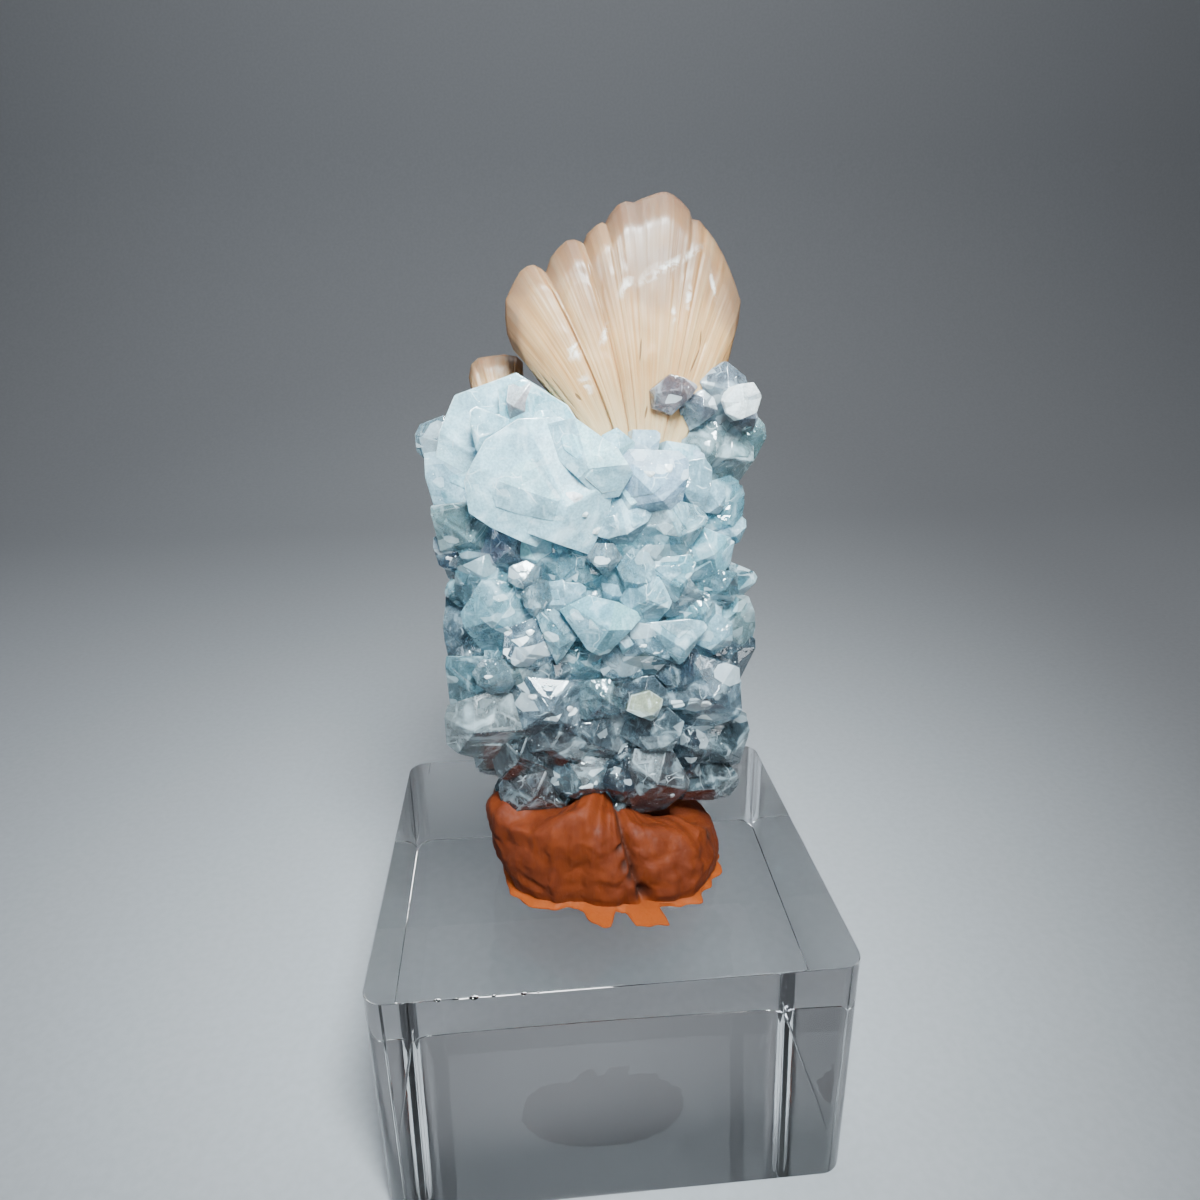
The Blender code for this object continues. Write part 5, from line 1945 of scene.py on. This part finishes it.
@dataclass
class Putty:
    """The orange putty: two lobes with a fold between them, a thin ragged smear at the foot and dents."""

    node: str = "mounting_putty"
    slot: str = "putty"
    centre: Point2 = (1.0, -2.6)
    floor: float = 28.87
    sides: int = 300
    wall_rings: int = 40
    top_rings: int = 16
    smear_height: float = 0.35
    fold_width: float = 5.0
    fold_depth: float = 1.5
    fold_top: float = 275.0
    fold_foot: float = 290.0
    dark_dent: float = 0.5
    brow_from: float = 0.86
    sharp_angle: float = 45.0
    rows: tuple[PuttyRow, ...] = (
        PuttyRow(0, 12.9, 12.5, 11.6, 34.2), PuttyRow(40, 12.4, 12.0, 11.4, 35.5),
        PuttyRow(90, 11.6, 11.3, 10.6, 37.0), PuttyRow(140, 12.3, 11.9, 11.8, 37.8),
        PuttyRow(170, 12.8, 12.3, 13.5, 38.6), PuttyRow(184, 12.5, 11.9, 13.9, 39.4),
        PuttyRow(194, 12.4, 11.8, 13.6, 39.6), PuttyRow(203, 12.6, 11.9, 12.6, 38.2),
        PuttyRow(216, 12.0, 11.0, 11.2, 38.6), PuttyRow(228, 10.9, 10.2, 9.8, 39.6),
        PuttyRow(238, 9.5, 9.0, 8.7, 40.4), PuttyRow(246, 9.4, 8.6, 8.1, 40.7),
        PuttyRow(256, 11.2, 8.9, 7.6, 39.9), PuttyRow(265, 11.7, 8.9, 7.2, 39.0),
        PuttyRow(269, 9.2, 8.9, 7.1, 38.6), PuttyRow(275, 9.4, 8.6, 7.0, 38.2),
        PuttyRow(279, 12.0, 8.9, 7.2, 38.0), PuttyRow(286, 12.4, 9.4, 7.5, 38.1),
        PuttyRow(294, 12.8, 9.7, 7.9, 37.7), PuttyRow(297, 10.2, 9.9, 8.1, 37.4),
        PuttyRow(308, 11.4, 10.9, 8.8, 37.0), PuttyRow(317, 12.9, 11.8, 9.7, 36.7),
        PuttyRow(323, 12.1, 11.9, 10.2, 36.4), PuttyRow(336, 12.6, 12.1, 10.9, 35.8),
        PuttyRow(345, 13.4, 12.4, 11.4, 34.8), PuttyRow(353, 12.9, 12.5, 11.6, 34.3),
        PuttyRow(360, 12.9, 12.5, 11.6, 34.2),
    )
    dents: tuple[Dent, ...] = (
        Dent(273, 7.0, 0.55, 0.7), Dent(276, 5.2, 0.5, 0.6), Dent(280, 3.9, 0.6, 0.7),
        Dent(288, 1.7, 1.0, 1.3), Dent(219, 2.6, 0.7, 0.35), Dent(297, 2.8, 0.9, 0.35),
        Dent(343, 5.0, 0.9, 0.8), Dent(205, 6.6, 1.2, 0.45), Dent(243, 4.8, 1.7, 0.3),
        Dent(312, 5.0, 1.4, 0.3), Dent(258, 7.5, 1.3, -0.35), Dent(30, 4.0, 1.6, 0.5),
        Dent(75, 5.0, 1.5, 0.5), Dent(110, 3.0, 1.2, 0.5), Dent(150, 5.5, 1.6, 0.5),
    )

    def row_at(self, degrees: float) -> list[float]:
        """The putty's four measures in a direction.

        Args:
            degrees: The direction.

        Returns:
            Smear, foot, shoulder and height, eased between the rows.
        """
        for low, high in zip(self.rows, self.rows[1:]):
            if low.degrees <= degrees <= high.degrees:
                share = (degrees - low.degrees) / (high.degrees - low.degrees)
                share = share * share * (3 - 2 * share)
                return [a + (b - a) * share for a, b in zip(low.values(), high.values())]
        return list(self.rows[0].values())

    def marks(self, degrees: float, climb: float, height: float, reach: float) -> Point2:
        """The fold and the dents at a place of the wall.

        Args:
            degrees: The direction.
            climb: Share of the wall's height.
            height: Height above the block, in millimetres.
            reach: Distance from the middle, in millimetres.

        Returns:
            How far the surface lies back, and how much painted shade the place gets.
        """
        middle = self.fold_foot + (self.fold_top - self.fold_foot) * min(1.0, climb) ** 0.8
        away = degrees - middle
        width = self.fold_width * (0.45 if away < 0 else 1.5)
        fold = math.exp(-((away / width) ** 2)) * min(1.0, 0.35 + climb)
        depth = self.fold_depth * fold
        # Painted shade in the fold and in the deeper dents.
        dark = 0.75 * math.exp(-((away / (0.5 * self.fold_width)) ** 2))
        for dent in self.dents:
            aside = math.radians(degrees - dent.degrees) * reach
            share = math.hypot(aside, height - dent.height) / dent.radius
            near = math.exp(-(share**2))
            depth += dent.depth * near
            if dent.depth > self.dark_dent:
                dark = max(dark, 1.1 * math.exp(-((share * 1.2) ** 2)))
        return depth, min(1.0, dark)

    def section(self, degrees: float) -> list[tuple[float, float, float, float]]:
        """The putty's outline in one direction, from the foot over the shoulder to the middle.

        Args:
            degrees: The direction.

        Returns:
            (reach, height above the block, painted shade, smear) of each ring.
        """
        smear, foot, shoulder, top = self.row_at(degrees)
        top -= self.floor
        angle = math.radians(degrees)
        ragged = noise.noise(Vector((math.cos(angle) * 9, math.sin(angle) * 9, 0.0)))
        smear = max(foot + 0.15, smear + 0.45 * ragged)
        rim = self.smear_height
        made = [(smear, 0.0, 0.0, 1.0), (smear - 0.05, 0.5 * rim, 0.0, 1.0)]
        made.append(((smear + foot) / 2, rim, 0.0, 1.0))
        made.append((foot + 0.12, 1.3 * rim, 0.15, 0.8))
        for ring in range(self.wall_rings + 1):
            climb = ring / self.wall_rings
            reach = foot + (shoulder - foot) * climb**1.1
            reach += 0.8 * math.sin(math.pi * climb**0.8)
            height = 1.5 * rim + (top - 1.5 * rim) * climb
            if climb > self.brow_from:
                reach -= 1.1 * ((climb - self.brow_from) / 0.14) ** 2.2
            depth, dark = self.marks(degrees, climb, height, reach)
            made.append((reach - depth, height, dark, max(0.0, 0.6 - 9 * climb)))
        edge_reach, edge_height, edge_dark, _ = made[-1]
        for ring in range(1, self.top_rings):
            inward = ring / self.top_rings
            height = edge_height + 0.5 * math.sin(inward * math.pi)
            made.append((edge_reach * (1 - inward), height, edge_dark * (1 - inward), 0.0))
        return made

    def form(self) -> Form:
        """The lump before the cluster is pressed in.

        Returns:
            The bmesh, with the layers fold, the painted shade of the fold and dents, and foot.
        """
        form = bmesh.new()
        fold = form.verts.layers.float.new("fold")
        foot = form.verts.layers.float.new("foot")
        columns = []
        for side in range(self.sides):
            degrees = 360.0 * side / self.sides
            angle = math.radians(degrees)
            column = []
            for reach, height, dark, smear in self.section(degrees):
                spot = Vector((math.cos(angle) * reach, math.sin(angle) * reach, height * 1.1))
                lump = 0.42 * noise.noise(spot * 0.30) + 0.22 * noise.noise(spot * 0.75)
                lump += 0.08 * noise.noise(spot * 1.9) + 0.03 * noise.noise(spot * 5.0)
                firm = min(1.0, height / 1.5)
                reach += lump * firm
                swell = noise.noise(spot * 0.5 + Vector((7.0, 0.0, 0.0)))
                lift = 0.6 * swell * firm * min(1.0, height / 6.0)
                x = self.centre[0] + reach * math.cos(angle)
                y = self.centre[1] + reach * math.sin(angle)
                vertex = form.verts.new((x, y, self.floor + height + lift))
                vertex[fold] = dark
                vertex[foot] = smear
                column.append(vertex)
            columns.append(column)
        for side in range(self.sides):
            here = columns[side]
            following = columns[(side + 1) % self.sides]
            for ring in range(len(here) - 1):
                form.faces.new((here[ring], following[ring], following[ring + 1], here[ring + 1]))
        for ring in (0, -1):
            middle = sum((column[ring].co for column in columns), Vector()) / self.sides
            centre = form.verts.new(middle)
            for side in range(self.sides):
                form.faces.new((columns[side][ring], columns[(side + 1) % self.sides][ring], centre))
        return form

    def build(self, pressed: Group) -> Item:
        """Builds and dresses the putty.

        Args:
            pressed: The crystals that are pressed into it.

        Returns:
            The putty.
        """
        item = mesh_object(self.form(), self.node + "_look")
        combine(item, pressed, "DIFFERENCE")
        clean_skin(item)
        dress(item, self.sharp_angle, PuttyFinish().build())
        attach(item, ROOT_BODY)
        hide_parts(self.node)
        return item


@dataclass
class AcrylicBlock:
    """The clear block: rounded upright edges, crisp top and bottom edges and a few small chips."""

    node: str = "display_block"
    slot: str = "acrylic"
    corner_radius: float = 2.35
    corner_segments: int = 14
    edge_bevel: float = 0.18
    sharp_angle: float = 30.0
    chip_in: float = 0.45
    chip_up: float = 0.35
    chips: tuple[Point2, ...] = (
        (-17.6, 0.55), (-15.8, 0.35), (-14.1, 0.7), (-12.2, 0.4), (-9.3, 0.5), (-7.9, 0.3),
    )

    def build(self) -> Item:
        """Builds and dresses the block to the size of its solid.

        Returns:
            The block.
        """
        low, high = (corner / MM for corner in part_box(self.node))
        size = high - low
        form = bmesh.new()
        middle = Matrix.Translation((low + high) / 2)
        bmesh.ops.create_cube(form, size=1.0, matrix=middle @ Matrix.Diagonal((*size, 1.0)))
        upright = [edge for edge in form.edges if abs(edge.verts[0].co.z - edge.verts[1].co.z) > 1.0]
        round_edges = {"profile": ROUND_PROFILE, "affect": "EDGES"}
        corner = {"offset": self.corner_radius, "segments": self.corner_segments}
        bmesh.ops.bevel(form, geom=upright, **corner, **round_edges)
        caps = [face for face in form.faces if abs(face.normal.z) > 0.9]
        rims = list({edge for face in caps for edge in face.edges})
        bmesh.ops.bevel(form, geom=rims, offset=self.edge_bevel, segments=BEVEL_SEGMENTS, **round_edges)
        item = mesh_object(form, self.node + "_look")
        group = helper_group("chips")
        for number, (x, radius) in enumerate(self.chips):
            chip = bmesh.new()
            spot = Matrix.Translation((x, low.y - radius * self.chip_in, high.z + radius * self.chip_up))
            bmesh.ops.create_icosphere(chip, subdivisions=2, radius=radius, matrix=spot)
            mesh_object(chip, f"chip {number}", group)
        combine(item, group, "DIFFERENCE")
        drop_group(group)
        dress(item, self.sharp_angle, AcrylicFinish().build())
        flatten_shading(item)
        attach(item, ROOT_BODY)
        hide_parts(self.node)
        return item


@dataclass
class Studio:
    """Floor, backdrop, soft lights and the camera at the photograph's viewing angle."""

    camera_place: Point3 = (-7.25, -88.85, 93.5)
    focal_pixels: float = 870.0
    yaw: float = -5.0
    pitch: float = 20.1
    roll: float = -0.7
    floor_drop: float = 0.02
    floor_half: float = 900.0
    backdrop_distance: float = 420.0
    bend_radius: float = 160.0
    bend_steps: int = 12
    near_clip: float = 5.0
    far_clip: float = 5000.0
    world_colour: Colour = (0.60, 0.66, 0.74)
    world_strength: float = 0.09

    def camera(self) -> Item:
        """Makes the camera.

        Returns:
            The camera, which is made the scene's own.
        """
        data = bpy.data.cameras.new("photograph_view")
        data.sensor_width = SENSOR_WIDTH
        data.lens = SENSOR_WIDTH * self.focal_pixels / PHOTO_SIDE
        data.clip_start = self.near_clip * MM
        data.clip_end = self.far_clip * MM
        item = bpy.data.objects.new("photograph_view", data)
        bpy.context.scene.collection.objects.link(item)
        yaw, pitch, roll = (math.radians(angle) for angle in (self.yaw, self.pitch, self.roll))
        flat = math.cos(pitch)
        ahead = Vector((-math.sin(yaw) * flat, math.cos(yaw) * flat, -math.sin(pitch)))
        level = Vector((math.cos(yaw), math.sin(yaw), 0.0))
        above = level.cross(ahead)
        right = level * math.cos(roll) + above * math.sin(roll)
        up = above * math.cos(roll) - level * math.sin(roll)
        turn = Matrix((right, up, -ahead)).transposed().to_4x4()
        item.matrix_world = Matrix.Translation(Vector(self.camera_place) * MM) @ turn
        bpy.context.scene.camera = item
        return item

    def floor(self) -> Item:
        """A floor that bends up into the backdrop.

        Returns:
            The floor.
        """
        form = bmesh.new()
        profile = [(-self.floor_half, -self.floor_drop)]
        for step in range(self.bend_steps + 1):
            angle = math.pi / 2 * step / self.bend_steps
            y = self.backdrop_distance - self.bend_radius + self.bend_radius * math.sin(angle)
            profile.append((y, self.bend_radius * (1 - math.cos(angle)) - self.floor_drop))
        profile.append((self.backdrop_distance, self.floor_half))
        lines = []
        for x in (-self.floor_half, self.floor_half):
            lines.append([form.verts.new((x, y, z)) for y, z in profile])
        for index in range(len(profile) - 1):
            form.faces.new((lines[0][index], lines[1][index], lines[1][index + 1], lines[0][index + 1]))
        item = mesh_object(form, "studio_floor")
        item.data.shade_smooth()
        item.data.materials.append(StudioFinish().build())
        return item

    def light(
        self,
        name: str,
        place: Point3,
        aim: Point3,
        size: Point2,
        power: float,
        colour: Colour,
        spread: float = 180.0,
    ) -> None:
        """Adds a soft area light.

        Args:
            name: The light's name.
            place: Where it stands, in millimetres.
            aim: What it points at, in millimetres.
            size: Width and height in millimetres.
            power: Power in watts.
            colour: Its colour.
            spread: The angle in degrees that its beam fills.
        """
        data = bpy.data.lights.new(name, "AREA")
        data.spread = math.radians(spread)
        data.shape = "RECTANGLE"
        data.size, data.size_y = (side * MM for side in size)
        data.energy = power
        data.color = colour
        item = bpy.data.objects.new(name, data)
        bpy.context.scene.collection.objects.link(item)
        item.location = Vector(place) * MM
        item.rotation_euler = (Vector(aim) - Vector(place)).to_track_quat("-Z", "Y").to_euler()

    def world(self) -> None:
        """Dim, even light from all round."""
        world = bpy.data.worlds.new("studio")
        world.use_nodes = True
        shade = world.node_tree.nodes["Background"]
        shade.inputs["Color"].default_value = (*self.world_colour, 1.0)
        shade.inputs["Strength"].default_value = self.world_strength
        bpy.context.scene.world = world

    def build(self) -> None:
        """Sets the floor, the lights and the camera."""
        self.floor()
        self.world()
        self.light("key", (8, -88, 160), (1, -10, 73), (38, 38), 0.15, (0.84, 0.96, 1.0), 70.0)
        self.light("front", (120, -280, 150), (0, 0, 62), (110, 90), 0.26, (1.0, 1.0, 1.0))
        self.light("left side", (-300, -40, 150), (0, 0, 60), (120, 160), 0.36, (0.80, 0.90, 1.0))
        self.light("ceiling", (40, 150, 600), (0, 0, 0), (300, 300), 1.1, (0.95, 0.98, 1.0))
        self.camera()


def pressed_crystals(cluster: CrystalCluster, below: float) -> Group:
    """The lower crystals, a little swollen, as the room that the putty leaves for them.

    Args:
        cluster: The cluster.
        below: The height under which a crystal counts.

    Returns:
        A collection of them.
    """
    group = helper_group("pressed")
    for number, crystal in enumerate(cluster.crystals()):
        if isinstance(crystal, Point):
            lowest = crystal.root.z - POINT_REACH
        else:
            lowest = crystal.z - LEAD_REACH * crystal.height
        if lowest < below:
            mesh_object(crystal.carve(PUTTY_ROOM), f"pressed {number}", group)
    mesh_object(cluster.core(), "pressed body", group)
    return group


def main() -> None:
    """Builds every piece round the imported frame, in order, and reports each."""
    logging.basicConfig(level=logging.INFO, format="%(name)s: %(message)s")
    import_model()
    Studio().build()
    AcrylicBlock().build()
    sockets = helper_group("sockets")
    for sheaf in (MAIN_SHEAF, SIDE_SHEAF):
        sheaf.build()
        mesh_object(sheaf.form(SHEAF_ROOM), sheaf.name + " socket", sockets)
    cluster = CrystalCluster()
    cluster.build(sockets)
    drop_group(sockets)
    pressed = pressed_crystals(cluster, PRESSED_BELOW)
    Putty().build(pressed)
    drop_group(pressed)


if __name__ == "__main__":
    main()
